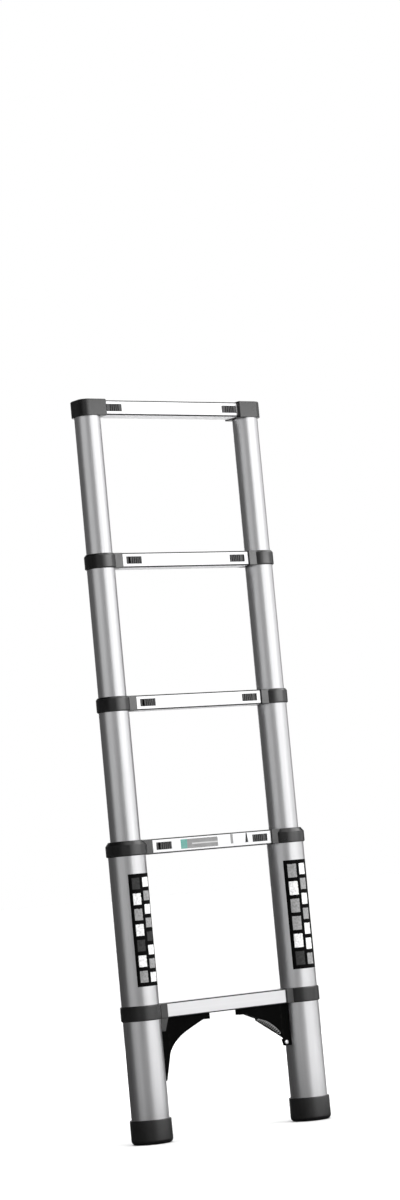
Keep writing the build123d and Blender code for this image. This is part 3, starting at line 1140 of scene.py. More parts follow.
LEFT_OUTER_INKS = (Ink.DARK, Ink.WHITE, Ink.GREY, Ink.WHITE, Ink.DARK, Ink.WHITE, Ink.GREY)
LEFT_INNER_INKS = (Ink.WHITE, Ink.GREY, Ink.WHITE, Ink.GREY, Ink.DARK, Ink.WHITE, Ink.GREY, Ink.WHITE)
RIGHT_OUTER_INKS = (Ink.GREY, Ink.WHITE, Ink.GREY, Ink.GREY, Ink.WHITE, Ink.DARK)
RIGHT_INNER_INKS = (Ink.WHITE, Ink.GREY, Ink.WHITE, Ink.GREY, Ink.WHITE, Ink.WHITE, Ink.GREY)
LEFT_FILM = BlockFilm(
    "left_stile_film", (Column((0.03, 0.105), LEFT_OUTER_INKS), Column((0.135, 0.23), LEFT_INNER_INKS))
)
RIGHT_FILM = BlockFilm(
    "right_stile_film", (Column((0.035, 0.12), RIGHT_OUTER_INKS), Column((0.15, 0.23), RIGHT_INNER_INKS))
)
RUNG_FILM = StripeFilm("rung_film", grey(0.19), grey(0.46), (0.05, 0.26, 0.22, 1.0))


@dataclass
class StileTubes:
    """The four nested tubes of each stile."""

    wall: float = 1.4 * MM
    rim_round: float = 0.3 * MM
    hole_radius: float = 5.4 * MM
    hole_margin: float = 9.0 * MM
    locks: tuple[tuple[int, ...], ...] = ((2,), (2, 3), (3, 4), (4,))

    def build(self) -> None:
        """Makes the left tubes and their mirrored twins."""
        for number, levels in enumerate(self.locks, start=1):
            node = f"tube_{number}"
            heights = [Span.rung(level).middle.z for level in levels]
            self.tube(Side.LEFT.node(node), heights).stand_for_pair(node, TUBE_METAL)

    def tube(self, node: str, holes: list[float]) -> Piece:
        """One drawn tube with its pin holes.

        Args:
            node: The node that gives its size.
            holes: The heights of its pin holes.

        Returns:
            The tube.
        """
        span = Span.of(node)
        radius = span.size.y / 2
        foot = Vector((span.middle.x, 0.0, span.low.z))
        tube = Piece.sleeve(node + "_drawn", foot, span.size.z, radius)
        for height in holes:
            for margin in (-self.hole_margin, self.hole_margin):
                if span.low.z < height + margin < span.high.z:
                    tube.score((height + margin) * UP, UP)
        tube.wall(self.wall)
        for height in holes:
            start = Vector((span.middle.x, 0.0, height))
            drill = Piece.rod("drill", start, 2 * radius, self.hole_radius, Direction.X)
            tube.combine(drill, Join.REMOVE)
        return tube.bevel(self.rim_round, Round.FINE, self.rim_test(span))

    @staticmethod
    def rim_test(span: Span) -> EdgeTest:
        """Picks the edges of the two open rims.

        Args:
            span: The tube's box.

        Returns:
            The test.
        """
        sharp = Edges.sharper(SHARP_ANGLE)
        low, high = Edges.at_height(span.low.z), Edges.at_height(span.high.z)
        return lambda edge: sharp(edge) and (low(edge) or high(edge))


@dataclass(frozen=True)
class RungEnd:
    """How a collar or a cap holds a rung: a block beside its end and a spigot inside it."""

    depth: float = 48.0 * MM
    corner: float = 3.0 * MM
    edge: float = 1.2 * MM
    rim_angle: float = math.radians(60)
    sink: float = 0.1 * MM
    overlap: float = 0.5 * MM
    inset: float = 2.1 * MM
    headroom: float = 1.0 * MM
    wall: float = 3.0 * MM

    def block(self, axis: float, cuts: list[Pair], middle: float, rung: Span) -> Piece:
        """The flat-faced block between the ring and the rung.

        Args:
            axis: The stile's place along X.
            cuts: Radius and upper end of each round that its inner end is cut to, inside the ring's wall.
            middle: The height of its middle.
            rung: The rung's box.

        Returns:
            The block.
        """
        half = self.depth / 2
        half_height = rung.size.z / 2 - self.sink
        low = Vector((axis, -half, middle - half_height))
        high = Vector((rung.low.x, half, middle + half_height))
        block = Piece.box("block", low, high)
        upright = Edges.both(Edges.along(UP), Edges.beyond_x(high.x - self.overlap))
        block.bevel(self.corner, Round.BROAD, upright)
        rims = Edges.both(Edges.sharper(self.rim_angle), Edges.beyond_x(axis - self.overlap))
        block.bevel(self.edge, Round.SMALL, rims)
        foot = Vector((axis, 0.0, low.z - self.overlap))
        for radius, top in cuts:
            block.combine(Piece.rod("ring_cut", foot, top - foot.z, radius), Join.REMOVE)
        return block

    def room(self, reach: float, rung: Span) -> Span:
        """The room inside the rung's end that a spigot fills.

        Args:
            reach: Where the spigot ends along X.
            rung: The rung's box.

        Returns:
            The room.
        """
        half = rung.size.y / 2 - self.inset
        low = Vector((rung.low.x - self.overlap, -half, rung.low.z + self.inset))
        return Span(low, Vector((reach, half, rung.high.z - self.inset - self.headroom)))

    def solid_spigot(self, room: Span) -> Piece:
        """A spigot that fills its room, with rounded long edges."""
        spigot = Piece.box("spigot", room.low, room.high)
        return spigot.bevel(self.edge, Round.FINE, Edges.along(ALONG_X))

    def open_spigot(self, reach: float, rung: Span) -> Piece:
        """A spigot that is hollow and open at its end.

        Args:
            reach: Where it ends along X.
            rung: The rung's box.

        Returns:
            The spigot.
        """
        room = self.room(reach, rung)
        spigot = self.solid_spigot(room)
        wall = Vector((self.wall,) * 3)
        hollow = Piece.box("hollow", room.low + wall, room.high - wall + 2 * self.wall * ALONG_X)
        return spigot.combine(hollow, Join.REMOVE)


@dataclass
class LatchCollars:
    """The moulded collars that crown the three lower tubes and hold the latches."""

    wall: float = 3.5 * MM
    fixed_gap: float = 0.1 * MM
    slide_gap: float = 0.4 * MM
    seat: float = 8.0 * MM
    foot_chamfer: float = 2.0 * MM
    wide_bevel: Pair = (6.0 * MM, 8.0 * MM)
    slim_bevel: Pair = (3.0 * MM, 4.0 * MM)
    edge_round: float = 0.6 * MM
    lip_overlap: float = 1.0 * MM
    pocket_start: float = 6.8 * MM
    pocket_half_height: float = 9.6 * MM
    pocket_back: float = 12.0 * MM
    pocket_end_wall: float = 4.0 * MM
    slot_depth: float = 2.3 * MM
    slot_sink: float = 1.8 * MM
    pin_bore: float = 5.4 * MM
    end: RungEnd = RungEnd()

    def build(self) -> None:
        """Makes each left collar and its mirrored twin."""
        for level in LATCHED:
            self.collar(level).stand_for_pair(f"collar_{level}", COLLAR_PLASTIC)

    def collar(self, level: int) -> Piece:
        """One collar: ring, rung block and latch housing.

        Args:
            level: The rung that it carries.

        Returns:
            The collar.
        """
        span = Side.LEFT.span(f"collar_{level}")
        tube = Side.LEFT.span(f"tube_{level}")
        rung = Span.rung(level)
        axis = tube.middle.x
        lip = tube.size.y / 2 + self.slide_gap
        ring = span.size.y / 2
        bore = ring - self.wall + self.fixed_gap
        bevel_in, bevel_down = self.wide_bevel if level == LATCHED[0] else self.slim_bevel
        ledge = span.middle.z + self.seat
        profile = [
            (bore, span.low.z),
            (ring - self.foot_chamfer, span.low.z),
            (ring, span.low.z + self.foot_chamfer),
            (ring, span.high.z - bevel_down),
            (ring - bevel_in, span.high.z),
            (lip, span.high.z),
            (lip, ledge),
            (bore, ledge),
        ]
        collar = Piece.turned(Side.LEFT.node(f"collar_{level}_moulded"), axis, profile, hollow=True)
        collar.bevel(self.edge_round, Round.SMALL, Edges.sharper(SLIGHT_ANGLE))
        overlap = self.end.overlap
        seat_cut = (bore + ring - self.foot_chamfer) / 2
        cuts = [(seat_cut, ledge + overlap), (lip + self.lip_overlap, span.high.z + overlap)]
        collar.combine(self.end.block(axis, cuts, span.middle.z, rung), Join.ADD)
        collar.combine(self.housing(span, rung), Join.ADD)
        start = Vector((axis + lip - overlap, 0.0, span.middle.z))
        length = rung.low.x + self.pocket_start + overlap - start.x
        collar.combine(Piece.rod("pin_bore", start, length, self.pin_bore, Direction.X), Join.REMOVE)
        return collar.combine(self.apron_slot(span, rung), Join.REMOVE)

    def housing(self, span: Span, rung: Span) -> Piece:
        """The spigot in the rung's end, with the open-fronted pocket of the latch.

        Args:
            span: The collar's box.
            rung: The rung's box.

        Returns:
            The housing.
        """
        housing = self.end.solid_spigot(self.end.room(span.high.x, rung))
        floor = span.middle.z - self.pocket_half_height
        roof = span.middle.z + self.pocket_half_height
        low = Vector((rung.low.x + self.pocket_start, rung.low.y, floor))
        high = Vector((span.high.x - self.pocket_end_wall, self.pocket_back, roof))
        return housing.combine(Piece.box("pocket", low, high), Join.REMOVE)

    def apron_slot(self, span: Span, rung: Span) -> Piece:
        """The slot beside the pocket that the slider's apron runs into.

        Args:
            span: The collar's box.
            rung: The rung's box.

        Returns:
            The block that cuts it.
        """
        front = rung.low.y + self.end.inset - self.end.sink
        half_height = self.pocket_half_height - self.end.sink
        low = Vector((rung.low.x - self.slot_sink, front, span.middle.z - half_height))
        stop = rung.low.x + self.pocket_start + self.end.overlap
        return Piece.box("slot", low, Vector((stop, front + self.slot_depth, span.middle.z + half_height)))


@dataclass
class BottomCollars:
    """The collars of the fixed bottom rung, each with a lug beside the corner bracket."""

    wall: float = 3.0 * MM
    fixed_gap: float = 0.1 * MM
    chamfer: float = 2.0 * MM
    edge_round: float = 0.3 * MM
    lug_gap: float = 0.4 * MM
    lug_drop: float = 25.0 * MM
    lug_foot: float = 2.0 * MM
    lug_round: float = 0.6 * MM
    end: RungEnd = RungEnd()

    def build(self) -> None:
        """Makes the left collar with its lug in front, and the right one with its lug behind."""
        self.collar(Place.FRONT).stand_for(Side.LEFT.node("collar_1"), COLLAR_PLASTIC)
        model = self.collar(Place.BACK)
        right = model.mirrored(Side.RIGHT.node("collar_1_moulded"))
        model.scrap()
        right.stand_for(Side.RIGHT.node("collar_1"), COLLAR_PLASTIC)

    def collar(self, lug_place: Place) -> Piece:
        """A collar on the left stile: ring, rung block, spigot and lug.

        Args:
            lug_place: Where its lug hangs.

        Returns:
            The collar.
        """
        span = Side.LEFT.span("collar_1")
        tube = Side.LEFT.span("tube_1")
        rung = Span.rung(BOTTOM)
        axis = tube.middle.x
        bore = tube.size.y / 2 + self.fixed_gap
        ring = tube.size.y / 2 + self.wall
        low, high = rung.low.z, rung.high.z
        profile = [
            (bore, low),
            (ring - self.chamfer, low),
            (ring, low + self.chamfer),
            (ring, high - self.chamfer),
            (ring - self.chamfer, high),
            (bore, high),
        ]
        collar = Piece.turned(Side.LEFT.node("collar_1_moulded"), axis, profile, hollow=True)
        collar.bevel(self.edge_round, Round.SMALL, Edges.sharper(SLIGHT_ANGLE))
        cut_radius = (bore + ring - self.chamfer) / 2
        cuts = [(cut_radius, high + self.end.overlap)]
        collar.combine(self.lug(axis, lug_place, cut_radius, rung), Join.ADD)
        collar.combine(self.end.block(axis, cuts, rung.middle.z, rung), Join.ADD)
        return collar.combine(self.end.open_spigot(span.high.x, rung), Join.ADD)

    def lug(self, axis: float, place: Place, cut_radius: float, rung: Span) -> Piece:
        """A wedge that hangs beside the bracket.

        Args:
            axis: The stile's place along X.
            place: Where it hangs.
            cut_radius: The radius that its tube end is cut to.
            rung: The rung's box.

        Returns:
            The lug.
        """
        inner = Side.LEFT.span("bracket").size.y / 2 + self.lug_gap
        outer = self.end.depth / 2 - self.end.edge
        near, far = sorted((place.value * inner, place.value * outer))
        foot = rung.low.z - self.lug_drop
        high = Vector((rung.low.x - self.end.edge, far, rung.low.z + 2 * self.end.edge))
        lug = Piece.box("lug", Vector((axis, near, foot)), high)
        tube = Side.LEFT.span("tube_1").size.y / 2
        slope_foot = Vector((axis + tube + self.lug_foot, 0.0, foot))
        slope = Vector((high.x, 0.0, rung.low.z)) - slope_foot
        lug.slice(slope_foot, Vector((slope.z, 0.0, -slope.x)))
        lug.face_outwards()
        lug.bevel(self.lug_round, Round.FINE, Edges.sharper(SLIGHT_ANGLE))
        drill_foot = Vector((axis, 0.0, foot - self.lug_drop))
        return lug.combine(Piece.rod("tube_cut", drill_foot, 3 * self.lug_drop, cut_radius), Join.REMOVE)


@dataclass
class TopCaps:
    """The closed caps over the top tubes."""

    corner: float = 19.0 * MM
    rung_corner: float = 3.0 * MM
    top_round: float = 3.0 * MM
    foot_edge: float = 1.2 * MM
    seat: float = 11.0 * MM
    fixed_gap: float = 0.1 * MM
    end: RungEnd = RungEnd()

    def build(self) -> None:
        """Makes the left cap and its mirrored twin."""
        self.cap().stand_for_pair("cap", COLLAR_PLASTIC)

    def cap(self) -> Piece:
        """The left cap: a rounded box with a bore for the tube and a spigot in the rung.

        Returns:
            The cap.
        """
        span = Side.LEFT.span("cap")
        tube = Side.LEFT.span("tube_4")
        rung = Span.rung(TOP)
        high = Vector((rung.low.x, span.high.y, span.high.z))
        cap = Piece.box(Side.LEFT.node("cap_moulded"), span.low, high)
        upright = Edges.along(UP)
        cap.bevel(self.corner, Round.CORNER, Edges.both(upright, Edges.before_x(tube.middle.x)))
        at_rung = Edges.both(upright, Edges.beyond_x(high.x - self.foot_edge))
        cap.bevel(self.rung_corner, Round.MEDIUM, at_rung)
        cap.bevel(self.top_round, Round.MEDIUM, Edges.at_height(span.high.z))
        cap.bevel(self.foot_edge, Round.SMALL, Edges.at_height(span.low.z))
        cap.combine(self.end.open_spigot(span.high.x, rung), Join.ADD)
        bore_foot = Vector((tube.middle.x, 0.0, span.low.z - self.foot_edge))
        bore_length = span.middle.z + self.seat - bore_foot.z
        bore = Piece.rod("bore", bore_foot, bore_length, tube.size.y / 2 + self.fixed_gap)
        return cap.combine(bore, Join.REMOVE)


@dataclass
class Rungs:
    """The five hollow rungs with grooved treads and latch windows."""

    wall: float = 1.8 * MM
    corner: float = 2.5 * MM
    grooves: int = 6
    groove_pitch: float = 6.0 * MM
    groove_width: float = 2.4 * MM
    groove_depth: float = 1.2 * MM
    window_length: float = 37.0 * MM
    window_height: float = 14.5 * MM
    window_corner: float = 1.0 * MM
    window_inset: float = 9.0 * MM
    top_window_inset: float = 3.0 * MM
    edge_round: float = 0.2 * MM
    round_limit: float = 0.12

    def build(self) -> None:
        """Makes each rung; the bottom one is a little greyer than the others."""
        for level in LEVELS:
            span = Span.rung(level)
            rung = self.rung(level, span)
            rung.stand_for(f"rung_{level}", GREYER_RUNG_METAL if level == BOTTOM else RUNG_METAL)
            rung.finish_faces(lambda face: self.is_underside(face, span), MILL_METAL)
            # The front rounds take a painted shade.
            rung.finish_faces(lambda face: self.is_front_round(face, span), PAINTED_SHADE_METAL)

    @staticmethod
    def is_underside(face: bpy.types.MeshPolygon, span: Span) -> bool:
        """Whether a face is one of the rung's lower faces that look straight down."""
        return face.normal.z < -ALIGNED and face.center.z < span.middle.z

    def is_front_round(self, face: bpy.types.MeshPolygon, span: Span) -> bool:
        """Whether a face belongs to the rounds along the front edges of a rung, which take a painted shade."""
        near_front = face.center.y < span.low.y + self.corner
        return near_front and face.normal.y < -self.round_limit and abs(face.normal.z) > self.round_limit

    def rung(self, level: int, span: Span) -> Piece:
        """One extruded rung.

        Args:
            level: Its number from the ground.
            span: Its box.

        Returns:
            The rung.
        """
        rung = Piece.box(f"rung_{level}_extruded", span.low, span.high)
        rung.bevel(self.corner, Round.BROAD, Edges.along(ALONG_X))
        rung.drop_faces(ALONG_X)
        rung.wall(self.wall)
        rung.combine(self.groove_cutter(span), Join.REMOVE)
        if level != BOTTOM:
            inset = self.top_window_inset if level == TOP else self.window_inset
            for side in (-1, 1):
                middle = side * (span.high.x - inset - self.window_length / 2)
                rung.combine(self.window_cutter(span, middle), Join.REMOVE)
        return rung.soften(self.edge_round)

    def groove_cutter(self, span: Span) -> Piece:
        """The six long bars that cut the tread grooves.

        Args:
            span: The rung's box.

        Returns:
            The bars as one mesh.
        """
        reach = self.corner * ALONG_X
        bars = []
        for across in spread_evenly(self.grooves, self.groove_pitch):
            low = Vector((span.low.x, across - self.groove_width / 2, span.high.z - self.groove_depth))
            high = Vector((span.high.x, across + self.groove_width / 2, span.high.z + self.groove_depth))
            bars.append(Piece.box("groove", low - reach, high + reach))
        return Piece.joined(bars)

    def window_cutter(self, span: Span, middle: float) -> Piece:
        """The block that cuts a latch window.

        Args:
            span: The rung's box.
            middle: The window's middle along X.

        Returns:
            The block.
        """
        half = Vector((self.window_length / 2, 2 * self.wall, self.window_height / 2))
        at = Vector((middle, span.low.y, span.middle.z))
        cutter = Piece.box("window", at - half, at + half)
        return cutter.bevel(self.window_corner, Round.MEDIUM, Edges.along(ALONG_Y))


@dataclass
class ThumbSliders:
    """The ribbed thumb sliders of the latches and the fixed ribbed plates of the top rung."""

    grips: int = 5
    grip_pitch: float = 4.6 * MM
    grip_width: float = 2.0 * MM
    grip_depth: float = 1.0 * MM
    plate_height: float = 13.7 * MM
    plate_lead: float = 2.0 * MM
    plate_length: float = 27.0 * MM
    insert_gap: float = 2.4 * MM
    inner_gap: float = 2.6 * MM
    flange: float = 1.8 * MM
    edge_round: float = 0.25 * MM
    apron_reach: float = 8.3 * MM
    apron_wall: float = 1.2 * MM
    apron_inset: float = 0.3 * MM

    def build(self) -> None:
        """Makes each left slider and plate with its mirrored twin."""
        for level in LATCHED:
            start = Side.LEFT.span(f"slider_{level}").low.x + self.plate_lead
            back = Span.rung(level).low.y + self.inner_gap
            self.pair(f"slider_{level}", (start, start + self.plate_length), back, self.apron_reach)
        span = Side.LEFT.span("insert")
        back = Span.rung(TOP).low.y + self.flange
        self.pair("insert", (span.low.x + self.insert_gap, span.high.x - self.insert_gap), back, 0.0)

    def pair(self, node: str, ends: Pair, back: float, reach: float) -> None:
        """Makes one plate with its carriage for both stiles.

        Args:
            node: The node without its side.
            ends: Where the ribbed plate starts and ends along X.
            back: Where the plate meets its carriage along Y.
            reach: How far an apron that closes the window stands out at both ends, or 0 for none.
        """
        span = Side.LEFT.span(node)
        half = self.plate_height / 2
        carriage_low = Vector((span.low.x, back, span.low.z))
        piece = Piece.box(Side.LEFT.node(node) + "_ribbed", carriage_low, span.high)
        if reach:
            piece.combine(self.apron(carriage_low, span.high, reach), Join.ADD)
        plate_low = Vector((ends[0], span.low.y, span.middle.z - half))
        plate_high = Vector((ends[1], back + self.grip_depth, span.middle.z + half))
        plate = Piece.box("plate", plate_low, plate_high)
        plate.combine(self.groove_cutter(plate_low, plate_high), Join.REMOVE)
        piece.combine(plate, Join.ADD)
        piece.soften(self.edge_round)
        ribs = span.low.y + self.edge_round
        # The grooves and the plate's sides, behind the ribs' fronts, take the painted groove shade.
        for ribbed in (piece, piece.stand_for_pair(node, SLIDER_PLASTIC)):
            ribbed.finish_faces(lambda face: ribs < face.center.y < back, GROOVE_SHADE_PLASTIC)

    def apron(self, low: Vector, high: Vector, reach: float) -> Piece:
        """The thin plate just behind the rung's wall that keeps the window closed.

        Args:
            low: The carriage's lowest corner.
            high: The carriage's highest corner.
            reach: How far it stands out at both ends.

        Returns:
            The plate.
        """
        front = low.y + self.apron_inset
        start = Vector((low.x - reach, front, low.z + self.apron_inset))
        end = Vector((high.x + reach, front + self.apron_wall, high.z - self.apron_inset))
        return Piece.box("apron", start, end)

    def groove_cutter(self, low: Vector, high: Vector) -> Piece:
        """The bars that cut the finger grooves.

        Args:
            low: The plate's lowest corner.
            high: The plate's highest corner.

        Returns:
            The bars as one mesh.
        """
        reach = Vector((0.0, self.grip_depth, self.grip_depth))
        bars = []
        for across in spread_evenly(self.grips, self.grip_pitch):
            middle = (low.x + high.x) / 2 + across
            bar_low = Vector((middle - self.grip_width / 2, low.y, low.z))
            bar_high = Vector((middle + self.grip_width / 2, low.y, high.z))
            bars.append(Piece.box("groove", bar_low - reach, bar_high + reach))
        return Piece.joined(bars)


@dataclass(frozen=True)
class UnderLine:
    """The lower side of a bracket in its side view: distances from the stile and heights, from the tip on."""

    points: tuple[Pair, ...]

    @classmethod
    def curved(cls, knots: tuple[Pair, ...], steps: int) -> "UnderLine":
        """A smooth line through a row of knots.

        Args:
            knots: The knots, from the tip on.
            steps: How many straight parts lie between two knots.

        Returns:
            The line.
        """
        row = [Vector(knot) for knot in knots]
        row = [2 * row[0] - row[1], *row, 2 * row[-1] - row[-2]]
        points = []
        for before, start, end, after in zip(row, row[1:], row[2:], row[3:]):
            for step in range(steps):
                share = step / steps
                straight = start.lerp(end, share)
                pull = (end - before) / 2 - (end - start)
                push = (after - start) / 2 - (end - start)
                bend = share * (1 - share) ** 2 * pull - share**2 * (1 - share) * push
                points.append(tuple(straight + bend))
        return cls((*points, tuple(row[-2])))

    def height(self, place: float) -> float:
        """The height of the line at a distance from the stile.

        Args:
            place: The distance.

        Returns:
            The height.
        """
        for (far, start), (near, end) in pairwise(self.points):
            if near <= place <= far:
                return start + (far - place) / (far - near) * (end - start)
        raise ValueError(f"the line does not reach {place}")

    def beyond(self, place: float) -> "UnderLine":
        """The part of the line from its tip to a distance from the stile."""
        kept = tuple(point for point in self.points if point[0] > place)
        return UnderLine((*kept, (place, self.height(place))))

    def short_of(self, place: float) -> "UnderLine":
        """The part of the line from a distance on to the stile."""
        kept = tuple(point for point in self.points if point[0] < place)
        return UnderLine(((place, self.height(place)), *kept))

    def lifted(self, rise: float) -> "UnderLine":
        """The same line at another height."""
        return UnderLine(tuple((place, height + rise) for place, height in self.points))

    def then(self, *points: Pair) -> "UnderLine":
        """The line with more points at its end."""
        return UnderLine((*self.points, *points))


@dataclass
class CornerBrackets:
    """The brackets below the bottom rung: a curved web with a tail in front and a grooved flange behind."""

    skin: float = 3.5 * MM
    flange_skin: float = 7.0 * MM
    tip_knots: tuple[Pair, ...] = in_mm((142.0, -27.0), (122.0, -35.5))
    left_knots: tuple[Pair, ...] = in_mm((101.0, -45.0), (85.0, -53.8), (70.0, -66.0), (58.5, -81.0))
    right_knots: tuple[Pair, ...] = in_mm(
        (108.0, -40.8), (91.5, -47.0), (76.0, -57.0), (64.0, -68.3), (57.0, -81.0)
    )
    neck_knot: Pair = (54.3 * MM, -94.0 * MM)
    curve_steps: int = 5
    tail_end: Pair = (42.3 * MM, -142.0 * MM)
    tip_length: float = 24.0 * MM
    ribs: tuple[float, ...] = (78.0 * MM, 110.0 * MM)
    rib: float = 2.5 * MM
    flange_start: Pair = (111.5 * MM, -43.0 * MM)
    flange_slope: float = 0.648
    flange_tilt: float = -0.5
    grooves: int = 12
    groove_first: float = 62.0 * MM
    groove_pitch: float = 4.0 * MM
    groove_width: float = 1.6 * MM
    groove_depth: float = 0.8 * MM
    rim: float = 4.0 * MM
    strip: float = 3.0 * MM
    pad_heights: Pair = (-100.0 * MM, -86.0 * MM)
    pad_thickness: float = 8.0 * MM
    pad_inset: float = 0.3 * MM
    fixed_gap: float = 0.1 * MM
    edge_round: float = 0.5 * MM
    rim_clear: float = 1.5 * MM
    sink: float = 0.2 * MM
    tuck: float = 0.5 * MM

    def __post_init__(self) -> None:
        """Finds the stile and the bracket's depth and reach."""
        self.span = Side.LEFT.span("bracket")
        self.tube = Side.LEFT.span("tube_1")
        self.level = Span.rung(BOTTOM).middle.z
        self.front, self.back = self.span.low.y, self.span.high.y
        self.web_back = self.front + self.skin
        self.top = self.span.high.z - self.level
        self.reach = self.span.high.x - self.tube.middle.x
        self.flange_front = self.web_back - self.skin / 2

    def build(self) -> None:
        """Makes the left bracket with its long tail, and the right one with its short tail."""
        self.draw_lines(self.left_knots)
        self.dress(Side.LEFT, self.bracket(self.span.low.z))
        self.draw_lines(self.right_knots)
        model = self.bracket(Side.RIGHT.span("bracket").low.z)
        self.dress(Side.RIGHT, model.mirrored(Side.RIGHT.node("bracket_moulded")))
        model.scrap()

    def draw_lines(self, knots: tuple[Pair, ...]) -> None:
        """Draws the lower lines of a web and of its flange, which starts along the web and ends straight.

        Args:
            knots: The knots of the web's curve between its tip and its neck.
        """
        curve = UnderLine.curved((*self.tip_knots, *knots, self.neck_knot), self.curve_steps)
        tip = UnderLine(((self.reach, curve.points[0][1]), *curve.points))
        self.web = tip.then(self.tail_end, (0.0, self.tail_end[1]))
        start, height = self.flange_start
        steps = int((start - self.neck_knot[0]) / self.groove_pitch)
        places = [start - step * self.groove_pitch for step in range(1, steps + 1)]
        straight = [(place, height - self.flange_slope * (start - place)) for place in (*places, 0.0)]
        along_web = self.web.beyond(start + self.sink).lifted(self.sink)
        self.flange = along_web.then(self.flange_start, *straight)

    def dress(self, side: Side, piece: Piece) -> None:
        """Gives a bracket its plastic, with a painted light on its flange's underside and a painted highlight
        line along the web.

        Args:
            side: The bracket's stile.
            piece: The bracket.
        """
        piece.stand_for(side.node("bracket"), BRACKET_PLASTIC)
        strip = self.web_back + self.strip
        # The flange's underside takes a painted light and the line along the web a painted highlight; the
        # black rim keeps the bracket's own colour.
        piece.finish_faces(lambda face: self.is_flange(face) and face.center.y > strip, PAINTED_LIGHT_FLANGE_PLASTIC)
        piece.finish_faces(lambda face: self.is_flange(face) and face.center.y < strip, PAINTED_HIGHLIGHT_STRIP_PLASTIC)

    def is_flange(self, face: bpy.types.MeshPolygon) -> bool:
        """Whether a face belongs to the sloping underside of the flange, in front of its black rim.

        Args:
            face: The face.

        Returns:
            True on that underside.
        """
        out = -self.tube.middle.x - abs(face.center.x)
        if not self.web_back < face.center.y < self.back - self.rim or face.normal.z > self.flange_tilt:
            return False
        if not self.neck_knot[0] < out < self.flange_start[0]:
            return False
        edge = self.flange.height(out) + self.rise(out, face.center.y)
        return abs(face.center.z - self.level - edge) < self.groove_depth / 2

    def rise(self, out: float, depth: float) -> float:
        """How much higher the flange's underside is at a depth than at its back, at a distance out."""
        whole = max(0.0, self.web.height(out) + self.tuck - self.flange.height(out))
        return whole * (self.back - depth) / (self.back - self.flange_front)

    def at(self, out: float, depth: float, height: float) -> Vector:
        """A place by its distance from the stile, its depth and its height from the rung's middle."""
        return Vector((self.tube.middle.x + out, depth, self.level + height))

    def bracket(self, foot: float) -> Piece:
        """A bracket on the left stile: web with pad and tail, flange, saddle on the tube and ribs behind.

        Args:
            foot: The height of the tail's lower end above the ground.

        Returns:
            The bracket.
        """
        body = self.slab(Side.LEFT.node("bracket_moulded"), self.web, self.top, (self.front, self.web_back))
        body.slice(foot * UP, -UP)
        body.face_outwards()
        body.combine(self.grooved_flange(), Join.ADD)
        body.combine(self.pad(), Join.ADD)
        body.combine(self.tube_rod(self.fixed_gap), Join.REMOVE)
        body.combine(self.pocket(), Join.REMOVE)
        body.face_outwards()
        clear = Edges.beyond_x(self.tube.middle.x + self.tube.size.y / 2 + self.rim_clear)
        for depth in (self.front, self.back):
            body.bevel(self.edge_round, Round.SMALL, Edges.both(clear, Edges.rim_at_depth(depth)))
        return body

    def grooved_flange(self) -> Piece:
        """The flange behind the web, whose grooved underside sweeps back from the web's edge.

        Returns:
            The flange.
        """
        flange = self.slab("flange", self.flange, self.top - self.sink, (self.flange_front, self.back))
        for out, _ in self.flange.points:
            if self.neck_knot[0] < out <= self.flange_start[0]:
                self.lift_front(flange, out)
        flange.slice(self.at(self.reach - self.sink, 0.0, 0.0), ALONG_X)
        # Lines that split the black rim and the painted highlight line off the flange's underside.
        for depth in (self.back - self.rim, self.web_back + self.strip):
            flange.score(depth * ALONG_Y, ALONG_Y)
        flange.face_outwards()
        return flange.combine(self.groove_cutter(), Join.REMOVE)

    def slab(self, name: str, line: UnderLine, top: float, depth: Pair) -> Piece:
        """A slab with a level top, drawn on from its tip to the stile while its lower side follows a line.

        Args:
            name: The name of the piece.
            line: The line of its lower side.
            top: The height of its top.
            depth: Where it starts and ends along Y.

        Returns:
            The slab.
        """
        near, far = depth
        (tip, low), (place, height) = line.points[:2]
        slab = Piece.box(name, self.at(place, near, low), self.at(tip, far, top))
        self.lower_end(slab, place, top, height - low)
        for (place, height), (next_place, next_height) in pairwise(line.points[1:]):
            slab.draw_out(-ALONG_X, place - next_place)
            self.lower_end(slab, next_place, top, next_height - height)
        return slab.face_outwards()

    def lower_end(self, slab: Piece, place: float, top: float, move: float) -> None:
        """Drags the lower edge of a slab's open end up or down.

        Args:
            slab: The slab.
            place: Where its end is, from the stile.
            top: The height of its top.
            move: How far the edge goes.
        """
        corner = self.at(place, 0.0, top)
        slab.drag(
            lambda point: abs(point.x - corner.x) < self.sink / 2 and point.z < corner.z - self.sink,
            move * UP,
        )

    def lift_front(self, flange: Piece, out: float) -> None:
        """Lifts the front of the flange's underside to the web's edge.

        Args:
            flange: The flange.
            out: Where, from the stile.
        """
        corner = self.at(out, self.flange_front, self.flange.height(out))
        rise = self.rise(out, self.flange_front) * UP
        flange.drag(lambda point: (point - corner).length < self.sink / 2, rise)

    def pad(self) -> Piece:
        """The thick pad at the web's foot that takes the tie rivet.

        Returns:
            The pad.
        """
        low, high = self.pad_heights
        start = self.at(0.0, self.front + self.skin / 2, low + self.sink)
        pad = Piece.box("pad", start, self.at(self.reach, self.front + self.pad_thickness, high))
        (neck, neck_height), (foot, foot_height) = self.web.points[-3:-1]
        side = Vector((neck_height - foot_height, 0.0, foot - neck))
        pad.slice(self.at(neck - self.pad_inset, 0.0, neck_height), side)
        return pad.face_outwards()

    def tube_rod(self, grow: float) -> Piece:
        """The round of the stile's tube over the bracket's height, grown by a width."""
        start = Vector((self.tube.middle.x, 0.0, self.span.low.z - self.skin))
        return Piece.rod("saddle", start, self.span.size.z + 2 * self.skin, self.tube.size.y / 2 + grow)

